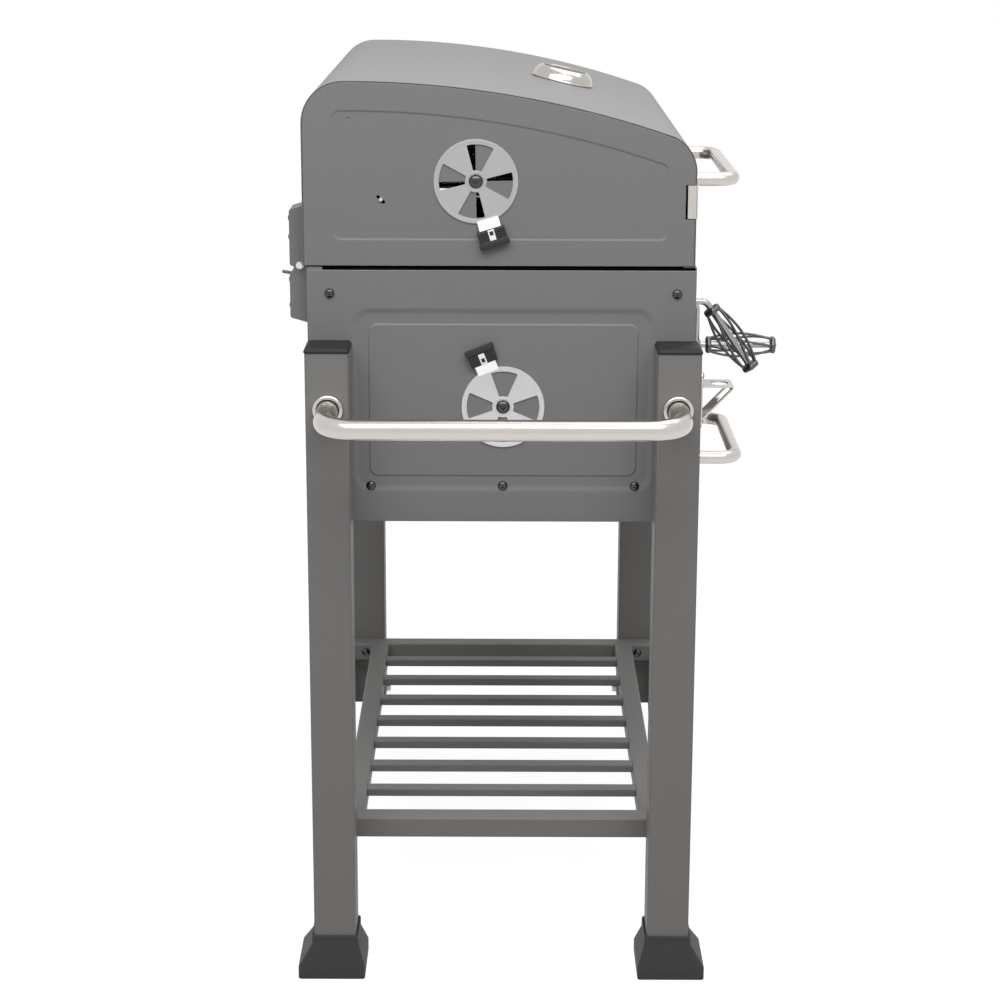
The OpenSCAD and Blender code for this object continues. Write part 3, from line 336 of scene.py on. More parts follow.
def cast_iron(name, base):
    """Lumpy sand-cast iron."""
    finish = Finish(name, Specular_IOR_Level=0.45)
    lump = finish.noise(260.0, 5.0, 0.62)
    sand = finish.noise(1500.0, 3.0, 0.6)
    return finish.done(base, 0.75 + lump * 0.5, 0.40 + lump * 0.22, lump + sand * 0.5, 0.0003)


def enamel(name, base):
    """Glossy enamel with a film of ash."""
    finish = Finish(name, Coat_Weight=0.5, Coat_Roughness=0.12)
    wave = finish.noise(120.0, 3.0, 0.5)
    ash = finish.patches(finish.noise(40.0, 8.0, 0.7), 0.55, 0.85)
    return finish.done(base, 0.9 + wave * 0.2 + ash * 0.6, 0.28 + wave * 0.10 + ash * 0.2, wave, 0.0002)


def tyre_rubber(name, base):
    """Dusty rubber."""
    finish = Finish(name, Specular_IOR_Level=0.4)
    grain = finish.noise(1400.0, 3.0, 0.6)
    dust = finish.noise(30.0, 5.0, 0.65)
    return finish.done(base, 0.8 + grain * 0.3 + dust * 0.6, 0.62 + dust * 0.2, grain, 0.0003)


def clear_glass(name, base):
    """Clear glass with a faint smear."""
    finish = Finish(name, IOR=1.45, Alpha=0.16)
    smear = finish.noise(35.0, 4.0, 0.6)
    return finish.done(base, 0.95 + smear * 0.08, 0.02 + smear * 0.05)


def printed(name, base):
    """Flat print or lacquer with a slight tooth."""
    finish = Finish(name)
    tooth = finish.noise(1800.0, 2.0, 0.5)
    cloud = finish.noise(45.0, 3.0, 0.5)
    return finish.done(base, 0.95 + cloud * 0.07 + tooth * 0.03, 0.4 + tooth * 0.1, tooth, 0.00003)


def scaled(base, factor):
    return [factor * value for value in base]


FINISHES = {}


def finish_of(name):
    """The material of that name, made when it is first asked for."""
    if name not in FINISHES:
        c = bpy.context.scene.cart_colours
        maker, *values = {
            "panel_paint": (powder_coat, c.panel_paint, 0.05),
            "lid_paint": (powder_coat, c.panel_paint, 0.03),
            "leg_paint": (powder_coat, c.leg_paint, 0.03),
            "steel_x": (brushed_steel, c.steel, 0),
            "steel_y": (brushed_steel, c.steel, 1),
            "steel_z": (brushed_steel, c.steel, 2),
            "bright_steel": (brushed_steel, (0.86, 0.85, 0.84), 1, 0.30),
            "disc_steel": (brushed_steel, c.disc_steel, 2, 0.40),
            # Same satin steel as disc_steel, made 1.4 times brighter: painted light for the body vent discs,
            # which catch more light.
            "pale_disc_steel": (brushed_steel, scaled(c.disc_steel, 1.4), 2, 0.40),
            "bezel_steel": (brushed_steel, scaled(c.steel, 0.85), 0, 0.16),
            "plated": (plated, c.plated),
            "rod_steel": (plated, scaled(c.plated, 0.60), 0.20),
            "zinc": (plated, (0.42, 0.42, 0.41), 0.34),
            "dark_plated": (plated, c.dark_plated, 0.05),
            "wire": (plated, c.wire, 0.26),
            "plastic": (moulded, c.plastic),
            "cap_plastic": (moulded, scaled(c.plastic, 0.42)),
            "grip_plastic": (moulded, scaled(c.plastic, 0.68), 0.42, 1400.0),
            "iron": (cast_iron, c.iron),
            "enamel": (enamel, (0.018, 0.018, 0.019)),
            "rubber": (tyre_rubber, c.rubber),
            "glass": (clear_glass, (0.95, 0.97, 0.97)),
            "dial_white": (printed, (0.78, 0.78, 0.76)),
            "dial_black": (printed, (0.012, 0.012, 0.012)),
            "dial_red": (printed, (0.42, 0.025, 0.018)),
        }[name]
        FINISHES[name] = maker(name, *values)
    return FINISHES[name]


# ---------------------------------------------------------------- outlines and paths

def full_turn(steps):
    """Angles of equal steps round a circle, in radians."""
    return [2 * math.pi * k / steps for k in range(steps)]


def arc(centre, radius, start, end, steps):
    """Points of an arc, angles in degrees."""
    turn = [math.radians(start + (end - start) * i / steps) for i in range(steps + 1)]
    return [Vector((centre[0] + radius * math.cos(a), centre[1] + radius * math.sin(a))) for a in turn]


def circle(radius, steps=32, centre=(0.0, 0.0)):
    return arc(centre, radius, 0, 360, steps)[:-1]


def hexagon(across_flats):
    return circle(across_flats / math.sqrt(3), 6)


def rounded(points, radius, steps=5, closed=True):
    """A chain of corners, each bent into an arc of the given radius (one number, or one per corner)."""
    points = [Vector(p) for p in points]
    count = len(points)
    radii = radius if isinstance(radius, (list, tuple)) else [radius] * count
    out = []
    for i, corner in enumerate(points):
        if (not closed and i in (0, count - 1)) or radii[i] <= 0:
            out.append(corner)
            continue
        before = (points[i - 1] - corner).normalized()
        after = (points[(i + 1) % count] - corner).normalized()
        turn = math.pi - before.angle(after)
        cut = radii[i] * math.tan(turn / 2)
        centre = corner + (before + after).normalized() * radii[i] / math.cos(turn / 2)
        first = corner + before * cut - centre
        last = corner + after * cut - centre
        for k in range(steps + 1):
            part = k / steps
            way = first * math.sin((1 - part) * turn) + last * math.sin(part * turn)
            out.append(centre + way / math.sin(turn))
    return out


def moved_left(point, before, after, distance):
    """A corner moved sideways so that both its edges move left by a distance."""
    left = Vector((-before.y - after.y, before.x + after.x))
    return point + left * distance / (1 + before.dot(after))


def inset(outline, distance):
    """A counter-clockwise outline moved inwards; a negative distance moves it out."""
    outline = [Vector(p) for p in outline]
    if not distance:
        return outline
    out = []
    for i, point in enumerate(outline):
        before = (point - outline[i - 1]).normalized()
        after = (outline[(i + 1) % len(outline)] - point).normalized()
        out.append(moved_left(point, before, after, distance))
    return out


def thick_line(path, thickness):
    """Closed outline of a bent strip: the path, and the path moved to its left."""
    path = [Vector(p) for p in path]
    out = []
    for i, point in enumerate(path):
        before = (point - path[i - 1] if i else path[1] - point).normalized()
        after = (path[i + 1] - point).normalized() if i + 1 < len(path) else before
        out.append(moved_left(point, before, after, thickness))
    return path + out[::-1]


def rectangle(x0, y0, x1, y1, radius=0.0, steps=5):
    corners = [(x0, y0), (x1, y0), (x1, y1), (x0, y1)]
    return rounded(corners, radius, steps) if radius else corners


def turned(outline, angle, centre):
    """An outline turned about its own origin, in degrees, and moved to a centre."""
    turn = Matrix.Rotation(math.radians(angle), 2)
    return [turn @ Vector(p) + Vector(centre) for p in outline]


def s_curve(start, width, first, last, steps=8):
    """(inset, height) pairs of a wall that turns smoothly from one level into another."""
    fall = [(1 - math.cos(math.pi * k / steps)) / 2 for k in range(steps + 1)]
    return [(start + width * k / steps, first + (last - first) * part) for k, part in enumerate(fall)]


def quarter(r0, z0, r1, z1, steps=4):
    """Quarter-round (radius, height) pairs from one point to another, bulging outwards."""
    turns = [math.pi / 2 * i / steps for i in range(steps + 1)]
    return [(r0 + (r1 - r0) * (1 - math.cos(a)), z0 + (z1 - z0) * math.sin(a)) for a in turns]


# ---------------------------------------------------------------- mesh building

CUT_EDGE = 0.0004  # rounding of a cut sheet's edge
SHEET_RIM = 0.0007  # rounding of a side sheet's outer rim
ROD_TIP = 0.0008  # length of a rod's narrowed tip
TINY = 1e-6  # distance under which two points are one
SHARP_ANGLE = 32.0  # degrees from which an edge is sharp


def rows_of(bm, loops):
    return [[bm.verts.new(p) for p in loop] for loop in loops]


def bridge(bm, rows):
    """Joins each row of vertices to the next with a band of faces."""
    for lower, upper in zip(rows, rows[1:]):
        for i in range(len(lower)):
            j = (i + 1) % len(lower)
            bm.faces.new((lower[i], lower[j], upper[j], upper[i]))


def loft(bm, loops):
    """A closed solid through a row of loops."""
    rows = rows_of(bm, loops)
    bridge(bm, rows)
    bm.faces.new(rows[0][::-1])
    bm.faces.new(rows[-1])


def closed_ring(bm, loops):
    """A band through a row of loops whose last joins the first."""
    rows = rows_of(bm, loops)
    bridge(bm, rows + [rows[0]])


def fill(bm, outlines, rows):
    """Closes the flat area between an outer loop and its holes. outlines are 2D, rows their vertices."""
    verts = [vert for row in rows for vert in row]
    flat = [[Vector((p[0], p[1], 0.0)) for p in outline] for outline in outlines]
    for triangle in tessellate_polygon(flat):
        bm.faces.new([verts[i] for i in triangle])


def lifted(outline, height, place=Matrix()):
    return [place @ Vector((p[0], p[1], height)) for p in outline]


def plate(bm, outline, z0, z1, place=Matrix(), edge=CUT_EDGE, holes=(), steps=2):
    """A plate with rounded edges. Outlines and holes run counter-clockwise."""
    turns = [math.radians(90 * i / steps) for i in range(steps + 1)]
    profile = [(edge * (1 - math.sin(a)), z0 + edge * (1 - math.cos(a))) for a in turns]
    profile += [(d, z0 + z1 - z) for d, z in reversed(profile)]
    ends = [[], []]
    for sign, loop in [(1, outline)] + [(-1, hole) for hole in holes]:
        rows = rows_of(bm, [lifted(inset(loop, sign * d), z, place) for d, z in profile])
        bridge(bm, rows)
        ends[0].append(rows[0])
        ends[1].append(rows[-1])
    flat = [inset(outline, edge)] + [inset(hole, -edge) for hole in holes]
    for rows in ends:
        fill(bm, flat, rows)


def block(bm, lo, hi, edge=CUT_EDGE, steps=2):
    """A box with rounded edges."""
    lo, hi = Vector(lo), Vector(hi)
    box = Matrix.Translation((lo + hi) / 2) @ Matrix.Diagonal((*(hi - lo), 1.0))
    made = bmesh.ops.create_cube(bm, size=1.0, matrix=box)
    edges = list({e for v in made["verts"] for e in v.link_edges})
    bmesh.ops.bevel(bm, geom=edges, offset=edge, segments=steps, profile=0.5, affect="EDGES",
                    clamp_overlap=True)


def bar(bm, lo, hi, axis, edge, wall=0.0):
    """A square bar along an axis; with a wall it is a tube that is open at both ends."""
    a, b = [i for i in range(3) if i != axis]
    outline = rectangle(lo[a], lo[b], hi[a], hi[b], edge, 4)
    rim = wall * 0.2 or edge * 0.35
    chain = [(0.0, rim), (rim, 0.0), (wall - rim, 0.0), (wall, rim)] if wall else [(rim, 0.0), (0.0, rim)]
    loops = []
    for end, way in ((lo[axis], 1), (hi[axis], -1)):
        for depth, along in chain[::way]:
            loop = [Vector() for p in outline]
            for point, p in zip(loop, inset(outline, depth)):
                point[a], point[b], point[axis] = p[0], p[1], end + way * along
            loops.append(loop)
    (closed_ring if wall else loft)(bm, loops)


def sweep(bm, path, radius, sides=24):
    """A round bar along a path; radius is one number or one per point."""
    path = [Vector(p) for p in path]
    radii = radius if isinstance(radius, (list, tuple)) else [radius] * len(path)
    normal = (path[1] - path[0]).normalized().orthogonal().normalized()
    loops = []
    for i, point in enumerate(path):
        ahead = (path[min(i + 1, len(path) - 1)] - path[max(i - 1, 0)]).normalized()
        normal = (normal - ahead * normal.dot(ahead)).normalized()
        across = ahead.cross(normal)
        round_it = [math.cos(a) * normal + math.sin(a) * across for a in full_turn(sides)]
        loops.append([point + radii[i] * way for way in round_it])
    loft(bm, loops)


def tipped_rod(bm, line, radius, tip=0.75, sides=24):
    """A round bar whose last point is narrowed to a part of its radius."""
    sweep(bm, line, [radius] * (len(line) - 1) + [radius * tip], sides)


def round_loop(radius, height, place, steps):
    """A loop about local z; its radius is a number or a function of the angle."""
    radii = [(a, radius(a) if callable(radius) else radius) for a in full_turn(steps)]
    return [place @ Vector((r * math.cos(a), r * math.sin(a), height)) for a, r in radii]


def lathe(bm, profile, place=Matrix(), steps=48):
    """Turns (radius, height) pairs about local z; a radius of 0 closes the end."""
    rows = rows_of(bm, [round_loop(max(radius, TINY), height, place, steps) for radius, height in profile])
    bridge(bm, rows)
    for row, (radius, height) in ((rows[0], profile[0]), (rows[-1], profile[-1])):
        if radius == 0:
            bmesh.ops.remove_doubles(bm, verts=row, dist=1e-4)


def ring(bm, section, place=Matrix(), steps=48):
    """A ring about local z whose section is a closed chain of (radius, height) pairs."""
    closed_ring(bm, [round_loop(radius, height, place, steps) for radius, height in section])


def cross_recess(reach):
    """The radius of a cross-shaped recess as a function of the angle."""
    return lambda a: reach * (0.42 + 0.75 * abs(math.cos(2 * a)) ** 6)


def screw_head(bm, place, radius=0.0045, height=0.003, shank=0.002):
    """Domed head with a cross recess, on a short shank."""
    steps = 32
    turns = [math.radians(9 * i) for i in range(1, 9)]
    dome = [(radius * 0.92, -shank), (radius * 0.92, -0.0002), (radius, 0.0)]
    dome += [(radius * math.cos(a), height * math.sin(a)) for a in turns]
    recess = ((0.465, 0.93), (0.42, 0.30))
    dome += [(cross_recess(radius * reach), height * level) for reach, level in recess]
    loft(bm, [round_loop(r, z, place, steps) for r, z in dome])


def folded_tray(bm, place, outline, depth, fold):
    """A sheet whose rim is folded down all round; local z points out of its flat face."""
    sheet = sizes().sheet
    outer = [(0.0, -depth)] + quarter(0.0, -fold, fold, 0.0)
    inner = [(sheet, -depth)] + quarter(sheet, -fold, fold, -sheet)
    faces = [rows_of(bm, [lifted(inset(outline, d), z, place) for d, z in side]) for side in (outer, inner)]
    for rows in (*faces, (faces[0][0], faces[1][0])):
        bridge(bm, rows)
    for rows in faces:
        fill(bm, [inset(outline, fold)], [rows[-1]])


def pressed_sheet(bm, place, outline, field, steps, holes, dimples=()):
    """A sheet with a pressed field: field(inset) gives its outline, steps its (inset, height) pairs."""
    rim = quarter(0.0, -SHEET_RIM, SHEET_RIM, 0.0, 3)
    floor = steps[-1][1]
    rows = {}
    for side, drop, rim_steps in (("front", 0.0, rim), ("back", -sizes().sheet, [(0.0, 0.0)])):
        rows[side] = rows_of(bm, [lifted(inset(outline, d), z + drop, place) for d, z in rim_steps])
        wall = rows_of(bm, [lifted(field(d), z + drop, place) for d, z in steps])
        bridge(bm, rows[side])
        bridge(bm, wall)
        fill(bm, [inset(outline, rim_steps[-1][0]), field(steps[0][0])], [rows[side][-1], wall[0]])
        openings = rows_of(bm, [lifted(hole, floor + drop, place) for hole in holes])
        dents = []
        for centre, radius in dimples:
            levels = ((radius, 0.0), (radius * 0.55, -0.0008))
            dent = rows_of(bm, [lifted(circle(r, 16, centre), floor + drop + z, place) for r, z in levels])
            bridge(bm, dent)
            bm.faces.new(dent[1])
            dents.append(dent[0])
        rims = [circle(radius, 16, centre) for centre, radius in dimples]
        fill(bm, [field(steps[-1][0]), *holes, *rims], [wall[-1], *openings, *dents])
        rows[side + " holes"] = openings
    bridge(bm, [rows["front"][0], rows["back"][0]])
    for front, back in zip(rows["front holes"], rows["back holes"]):
        bridge(bm, [front, back])


# ---------------------------------------------------------------- pieces

def make(name, bm, finish, node):
    """Turns the mesh under construction into a piece that rides on a CAD node's body."""
    bmesh.ops.remove_doubles(bm, verts=bm.verts, dist=TINY)
    bmesh.ops.recalc_face_normals(bm, faces=bm.faces)
    mesh = bpy.data.meshes.new(name)
    bm.to_mesh(mesh)
    bm.free()
    mesh.shade_smooth()
    mesh.set_sharp_from_angle(angle=math.radians(SHARP_ANGLE))
    mesh.materials.append(finish_of(finish))
    piece = bpy.data.objects.new(name, mesh)
    bpy.context.scene.collection.objects.link(piece)
    piece.modifiers.new("even shading", "WEIGHTED_NORMAL").keep_sharp = True
    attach(piece, BODY_OF[node])
    return piece


def dress(node, bm, finish):
    """A piece that stands for one CAD node."""
    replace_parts(make(node + "_made", bm, finish, node), node)


def keep(finish, *nodes):
    """CAD nodes whose own shape stays: they only get their finish."""
    for node in nodes:
        for place in frame["nodes"][node].material_slots:
            place.link = "OBJECT"
            place.material = finish_of(finish)


# ---------------------------------------------------------------- outlines of the sheets

def lid_line(depth):
    """The lid in side view, moved inwards: from its lower rear edge over the crown to the front."""
    s = sizes()
    back, front = front_of(high("lid_shell").y), front_of(low("lid_shell").y)
    crown = Vector((front_of(REAR) + s.crown_back, high("lid_shell").z - s.crown_radius))
    corners = []
    for x, radius in ((back + s.lid_rear_radius, s.lid_rear_radius),
                      (front - s.lid_front_radius, s.lid_front_radius)):
        reach = s.crown_radius - radius
        rise = math.sqrt(reach ** 2 - (x - crown.x) ** 2)
        angle = math.degrees(math.acos((x - crown.x) / reach))
        corners.append((Vector((x, crown.y + rise)), radius, angle))
    (rear, rear_radius, rear_angle), (nose, nose_radius, nose_angle) = corners
    line = [Vector((back + depth, LID_BASE))]
    line += arc(rear, rear_radius - depth, 180, rear_angle, 12)
    line += arc(crown, s.crown_radius - depth, rear_angle - 1, nose_angle + 1, 24)
    line += arc(nose, nose_radius - depth, nose_angle, 0, 12)
    return line + [Vector((front - depth, LID_BASE))]


def lid_side_outline():
    """Counter-clockwise outline of a lid side, notched for the steel band."""
    line = lid_line(sizes().lid_sheet + sizes().lid_joint)
    front, gap = line[-1].x, 0.0010
    back = front - sizes().lid_return - gap
    bottom, top = low("lid_trim").z - gap, high("lid_trim").z + 0.0002
    notch = [Vector(p) for p in ((front, bottom), (back, bottom), (back, top), (front, top))]
    return [line[0], line[-1]] + notch + line[1:-1][::-1]


def lid_field(depth):
    """Outline of the field pressed into a lid side, moved inwards."""
    s = sizes()
    rear_margin, front_margin, top_margin, bottom_margin, corner = 0.034, 0.031, 0.032, 0.029, 0.010
    rear = front_of(high("lid_left_side").y) + rear_margin
    front = front_of(low("lid_left_side").y) - front_margin
    bottom = LID_BASE + bottom_margin
    crown = (front_of(REAR) + s.crown_back, high("lid_shell").z - s.crown_radius)
    radius = s.crown_radius - top_margin
    ends = [math.degrees(math.acos((x - crown[0]) / radius)) for x in (front, rear)]
    outline = [(rear, bottom), (front, bottom)] + arc(crown, radius, *ends, 12)
    return inset(rounded(outline, [corner] * 3 + [0.0] * 11 + [corner], 6), depth)


def body_field(depth):
    """Outline of the channel pressed into a firebox side, moved inwards."""
    side_margin, top_margin, bottom_margin, corner = 0.050, 0.043, 0.0355, 0.020
    lo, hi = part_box("left_side_panel")
    half = hi.y - MID_Y - side_margin - depth
    bottom, top = lo.z + bottom_margin + depth, hi.z - top_margin - depth
    return rectangle(-half, bottom, half, top, corner - depth / 2, 8)


def air_windows(centre, first):
    """The four windows round a vent's hub, counted from the first one's angle in degrees."""
    inner, outer, half, corner = 0.0125, 0.042, 21.5, 0.0012
    radii = [corner] + [0.0] * 7 + [corner] * 2 + [0.0] * 3 + [corner]
    windows = []
    for k in range(4):
        middle = first + 90 * k
        outline = arc(centre, outer, middle - half, middle + half, 8)
        windows.append(rounded(outline + arc(centre, inner, middle + half, middle - half, 4), radii, 3))
    return windows


# ---------------------------------------------------------------- operators: firebox

class CartOperator(bpy.types.Operator):
    """Common settings of the cart's operators"""
    bl_options = {"REGISTER", "UNDO"}


class CART_OT_side_panels(CartOperator):
    """Makes the firebox's two pressed side panels with their air windows"""
    bl_idname = "cart.side_panels"
    bl_label = "Side panels"

    def execute(self, context):
        s = sizes()
        steps = s_curve(0.0, s.channel_outer_wall, 0.0, -s.channel_depth)
        steps += s_curve(s.channel_width, s.channel_inner_wall, -s.channel_depth, -s.middle_depth)
        for name, side, x in SIDES:
            node = f"{name}_side_panel"
            lo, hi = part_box(node)
            outline = rectangle(front_of(hi.y), lo.z, front_of(lo.y), hi.z, 0.0015, 3)
            holes = air_windows(on_side(f"vent_body_{name}_pivot"), 45)
            bm = bmesh.new()
            pressed_sheet(bm, side_place(side, x), outline, body_field, steps, holes)
            dress(node, bm, "panel_paint")
        return {"FINISHED"}


DRAWER_LAP = 0.017  # how far the drawer's front reaches past its tray on each side


class CART_OT_front_and_rear(CartOperator):
    """Makes the firebox's front and rear panels with their folded flanges"""
    bl_idname = "cart.front_and_rear"
    bl_label = "Front and rear panels"

    def execute(self, context):
        s = sizes()
        edge, gap, mouth_height, flange_drop = 0.0005, 0.003, 0.0466, 0.037
        lo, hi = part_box("front_panel")
        sides = low("ash_drawer").x + DRAWER_LAP - gap, high("ash_drawer").x - DRAWER_LAP + gap
        holes = [rectangle(sides[0], lo.z + gap, sides[1], lo.z + mouth_height, 0.003, 3)]
        for joint in ("crank_turn", "lock_lever_turn"):
            holes.append(circle(s.rod + 0.0002, 24, (pivot(joint).x, pivot(joint).z)))
        bm = bmesh.new()
        face = rectangle(lo.x, lo.z, hi.x, hi.z - s.fold)
        plate(bm, face, -s.sheet, 0.0, at(y=lo.y) @ STAND, edge, holes)
        lip = rounded([(hi.y - 0.010, hi.z), (lo.y, hi.z), (lo.y, hi.z - 0.006)], s.fold, 4, closed=False)
        plate(bm, thick_line(lip, s.sheet), lo.x, hi.x, ALONG_X)
        for x in (lo.x, hi.x - s.sheet):
            block(bm, (x, lo.y + s.sheet, lo.z + s.sheet), (x + s.sheet, hi.y, hi.z - flange_drop))
        dress("front_panel", bm, "panel_paint")

        lo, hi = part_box("rear_panel")
        bm = bmesh.new()
        plate(bm, rectangle(lo.x, lo.z, hi.x, hi.z, 0.002, 3), 0.0, s.sheet, at(y=hi.y) @ STAND, edge)
        for x in (lo.x, hi.x - s.sheet):
            block(bm, (x, lo.y, lo.z + s.sheet), (x + s.sheet, hi.y - s.sheet, hi.z))
        dress("rear_panel", bm, "panel_paint")
        return {"FINISHED"}


class CART_OT_floor_and_works(CartOperator):
    """Makes the firebox's floor and finishes its ledges, pan, grate and lift"""
    bl_idname = "cart.floor_and_works"
    bl_label = "Floor, pan and lift"

    def execute(self, context):
        sheet, corner = sizes().sheet, 0.020
        lo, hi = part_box("firebox_floor")
        bm = bmesh.new()
        block(bm, lo, (hi.x, hi.y, lo.z + sheet))
        for x in (lo.x, hi.x - sheet):
            block(bm, (x, lo.y + corner, lo.z), (x + sheet, hi.y - corner, hi.z))
        dress("firebox_floor", bm, "panel_paint")
        keep("zinc", "firebox_brackets", "lift_rack")
        keep("enamel", "charcoal_pan")
        keep("iron", "charcoal_grate")
        return {"FINISHED"}


class CART_OT_cooking_grates(CartOperator):
    """Makes the two cast cooking grates, their bars rounded on top"""
    bl_idname = "cart.cooking_grates"
    bl_label = "Cooking grates"

    def execute(self, context):
        lo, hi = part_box("cooking_grates")
        width, half, foot, edge, gap, count = 0.006, 0.003, 0.0022, 0.0015, 0.004, 15
        bm = bmesh.new()
        for way, outer in ((-1, lo.x), (1, hi.x)):
            inner = MID_X + way * gap / 2
            pitch = (abs(outer - inner) - width) / count
            for i in range(count + 1):
                x = inner + way * (half + i * pitch)
                corners = [(x - foot, lo.z), (x + foot, lo.z), (x + half, hi.z), (x - half, hi.z)]
                section = rounded(corners, [0.001, 0.001, 0.0018, 0.0018], 3)
                plate(bm, section, -hi.y, -lo.y, STAND, edge, steps=3)
            near, far = sorted((inner, outer))
            for y in (lo.y, MID_Y - half, hi.y - width):
                block(bm, (near, y, lo.z + 0.001), (far, y + width, hi.z - 0.002), edge, 3)
        dress("cooking_grates", bm, "iron")
        return {"FINISHED"}


# ---------------------------------------------------------------- operators: cart

TUBE_WALL = 0.0018  # wall of the legs and the shelf's end rails


class CART_OT_legs(CartOperator):
    """Makes the four square legs"""
    bl_idname = "cart.legs"
    bl_label = "Legs"

    def execute(self, context):
        for node in LEGS:
            bm = bmesh.new()
            bar(bm, *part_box(node), 2, sizes().tube_edge, TUBE_WALL)
            dress(node, bm, "leg_paint")
        return {"FINISHED"}


class CART_OT_leg_caps(CartOperator):
    """Makes the bevelled plugs on top of the legs"""
    bl_idname = "cart.leg_caps"
    bl_label = "Leg caps"

    def execute(self, context):
        lo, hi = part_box("leg_caps")
        lip, wall = 0.001, 0.002
        bm = bmesh.new()
        for node in LEGS:
            foot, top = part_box(node)
            outward = (foot.x - lip, top.x) if foot.x < MID_X else (foot.x, top.x + lip)
            outline = rectangle(outward[0], foot.y - lip, outward[1], top.y + lip, 0.0035, 5)
            steps = [(0.0006, top.z), (0.0, top.z + 0.0006), (0.0, top.z + 0.0024), (0.0005, top.z + 0.0031),
                     (0.0016, hi.z - 0.0012), (0.0026, hi.z - 0.0003), (0.0040, hi.z)]
            loft(bm, [lifted(inset(outline, d), z) for d, z in steps])
            plug = (foot.x + wall, foot.y + wall, lo.z), (top.x - wall, top.y - wall, top.z + lip)
            block(bm, *plug, 0.0015, 3)
        dress("leg_caps", bm, "cap_plastic")
        return {"FINISHED"}


class CART_OT_feet(CartOperator):
    """Makes the two flared feet with their square collars"""
    bl_idname = "cart.feet"
    bl_label = "Feet"

    def execute(self, context):
        lo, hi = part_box("feet")
        width = hi.x - lo.x
        wall, gap, band, slope_top = 0.003, 0.0004, 0.0155, hi.z - 0.011
        bm = bmesh.new()
        for node, start in (("leg_front_left", lo.y), ("leg_rear_left", hi.y - width)):
            foot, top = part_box(node)
            base = rectangle(lo.x, start, hi.x, start + width, 0.003, 4)
            collar = rectangle(foot.x - wall, foot.y - wall, top.x + wall, top.y + wall, 0.004, 4)
            bore = rectangle(foot.x - gap, foot.y - gap, top.x + gap, top.y + gap, 0.003, 4)
            loops = [(base, 0.0012, 0.0), (base, 0.0, 0.0012), (base, 0.0, band), (collar, 0.0, slope_top),
                     (collar, 0.0, hi.z - 0.0008), (collar, 0.0008, hi.z), (bore, 0.0, hi.z - 0.0003),
                     (bore, 0.0, foot.z)]
            loft(bm, [lifted(inset(outline, d), z) for outline, d, z in loops])
        dress("feet", bm, "plastic")
        return {"FINISHED"}


class CART_OT_shelf(CartOperator):
    """Makes the shelf's rails and slats"""
    bl_idname = "cart.shelf"
    bl_label = "Shelf"

    def execute(self, context):
        edge, inside, plug = 0.0022, 0.001, 0.005
        lo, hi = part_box("shelf_end_rails")
        depth = low("shelf_side_rails").x - lo.x
        bm = bmesh.new()
        for x in (lo.x, hi.x - depth):
            bar(bm, (x, lo.y, lo.z), (x + depth, hi.y, hi.z), 1, edge, TUBE_WALL)
            for y in (lo.y + inside, hi.y - inside - plug):
                far_corner = (x + depth - inside, y + plug, hi.z - inside)
                block(bm, (x + inside, y, lo.z + inside), far_corner, 0.0005)
        dress("shelf_end_rails", bm, "leg_paint")

        lo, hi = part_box("shelf_side_rails")
        width = hi.z - lo.z
        bm = bmesh.new()
        for y in (lo.y, hi.y - width):
            bar(bm, (lo.x, y, lo.z), (hi.x, y + width, hi.z), 0, edge)
        dress("shelf_side_rails", bm, "leg_paint")

        lo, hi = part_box("shelf_slats")
        width, count = 0.018, 7
        bm = bmesh.new()
        for i in range(count):
            x = lo.x + i * (hi.x - lo.x - width) / (count - 1)
            bar(bm, (x, lo.y, lo.z), (x + width, hi.y, hi.z), 1, 0.0014)
        dress("shelf_slats", bm, "leg_paint")
        return {"FINISHED"}


def u_bar(node, finish, bend, steps, sides, opens):
    """A round bar bent into a U in a level plane; its ends are at the box's high side along x or y."""
    lo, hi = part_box(node)
    r = (hi.z - lo.z) / 2
    near, far = (lo.x + r, lo.y + r), (hi.x - r, hi.y - r)
    if opens == "y":
        corners = [(near[0], hi.y), near, (far[0], near[1]), (far[0], hi.y)]
    else:
        corners = [(hi.x, near[1]), near, (near[0], far[1]), (hi.x, far[1])]
    bm = bmesh.new()
    sweep(bm, [(*p, lo.z + r) for p in rounded(corners, bend, steps, closed=False)], r, sides)
    dress(node, bm, finish)


class CART_OT_push_handle(CartOperator):
    """Makes the push handle and the two rosettes it stands on"""
    bl_idname = "cart.push_handle"
    bl_label = "Push handle"

    def execute(self, context):
        u_bar("push_handle", "steel_y", sizes().push_bend, 16, 40, opens="x")
        lo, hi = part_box("push_handle")
        radius, z = (hi.z - lo.z) / 2, (hi.z + lo.z) / 2
        inner, outer, rim, height = radius + 0.0003, high("push_handle_rosettes").z - z, 0.0012, 0.0054
        section = [(inner, 0.0), (outer, 0.0), (outer, rim)] + quarter(outer, rim, outer - 0.0035, height)
        section += [(inner + 0.0008, height - 0.0004), (inner, height - 0.0018)]
        bm = bmesh.new()
        for y in (lo.y + radius, hi.y - radius):
            ring(bm, section, facing(hi.x, y, z, (-1, 0, 0)))
        dress("push_handle_rosettes", bm, "steel_z")
        return {"FINISHED"}


PIN_HALF = 0.0252  # half the length of a hinge's pin


def hinge_places():
    """The middles of the two hinges along X."""
    return low("hinge_pins").x + PIN_HALF, high("hinge_pins").x - PIN_HALF


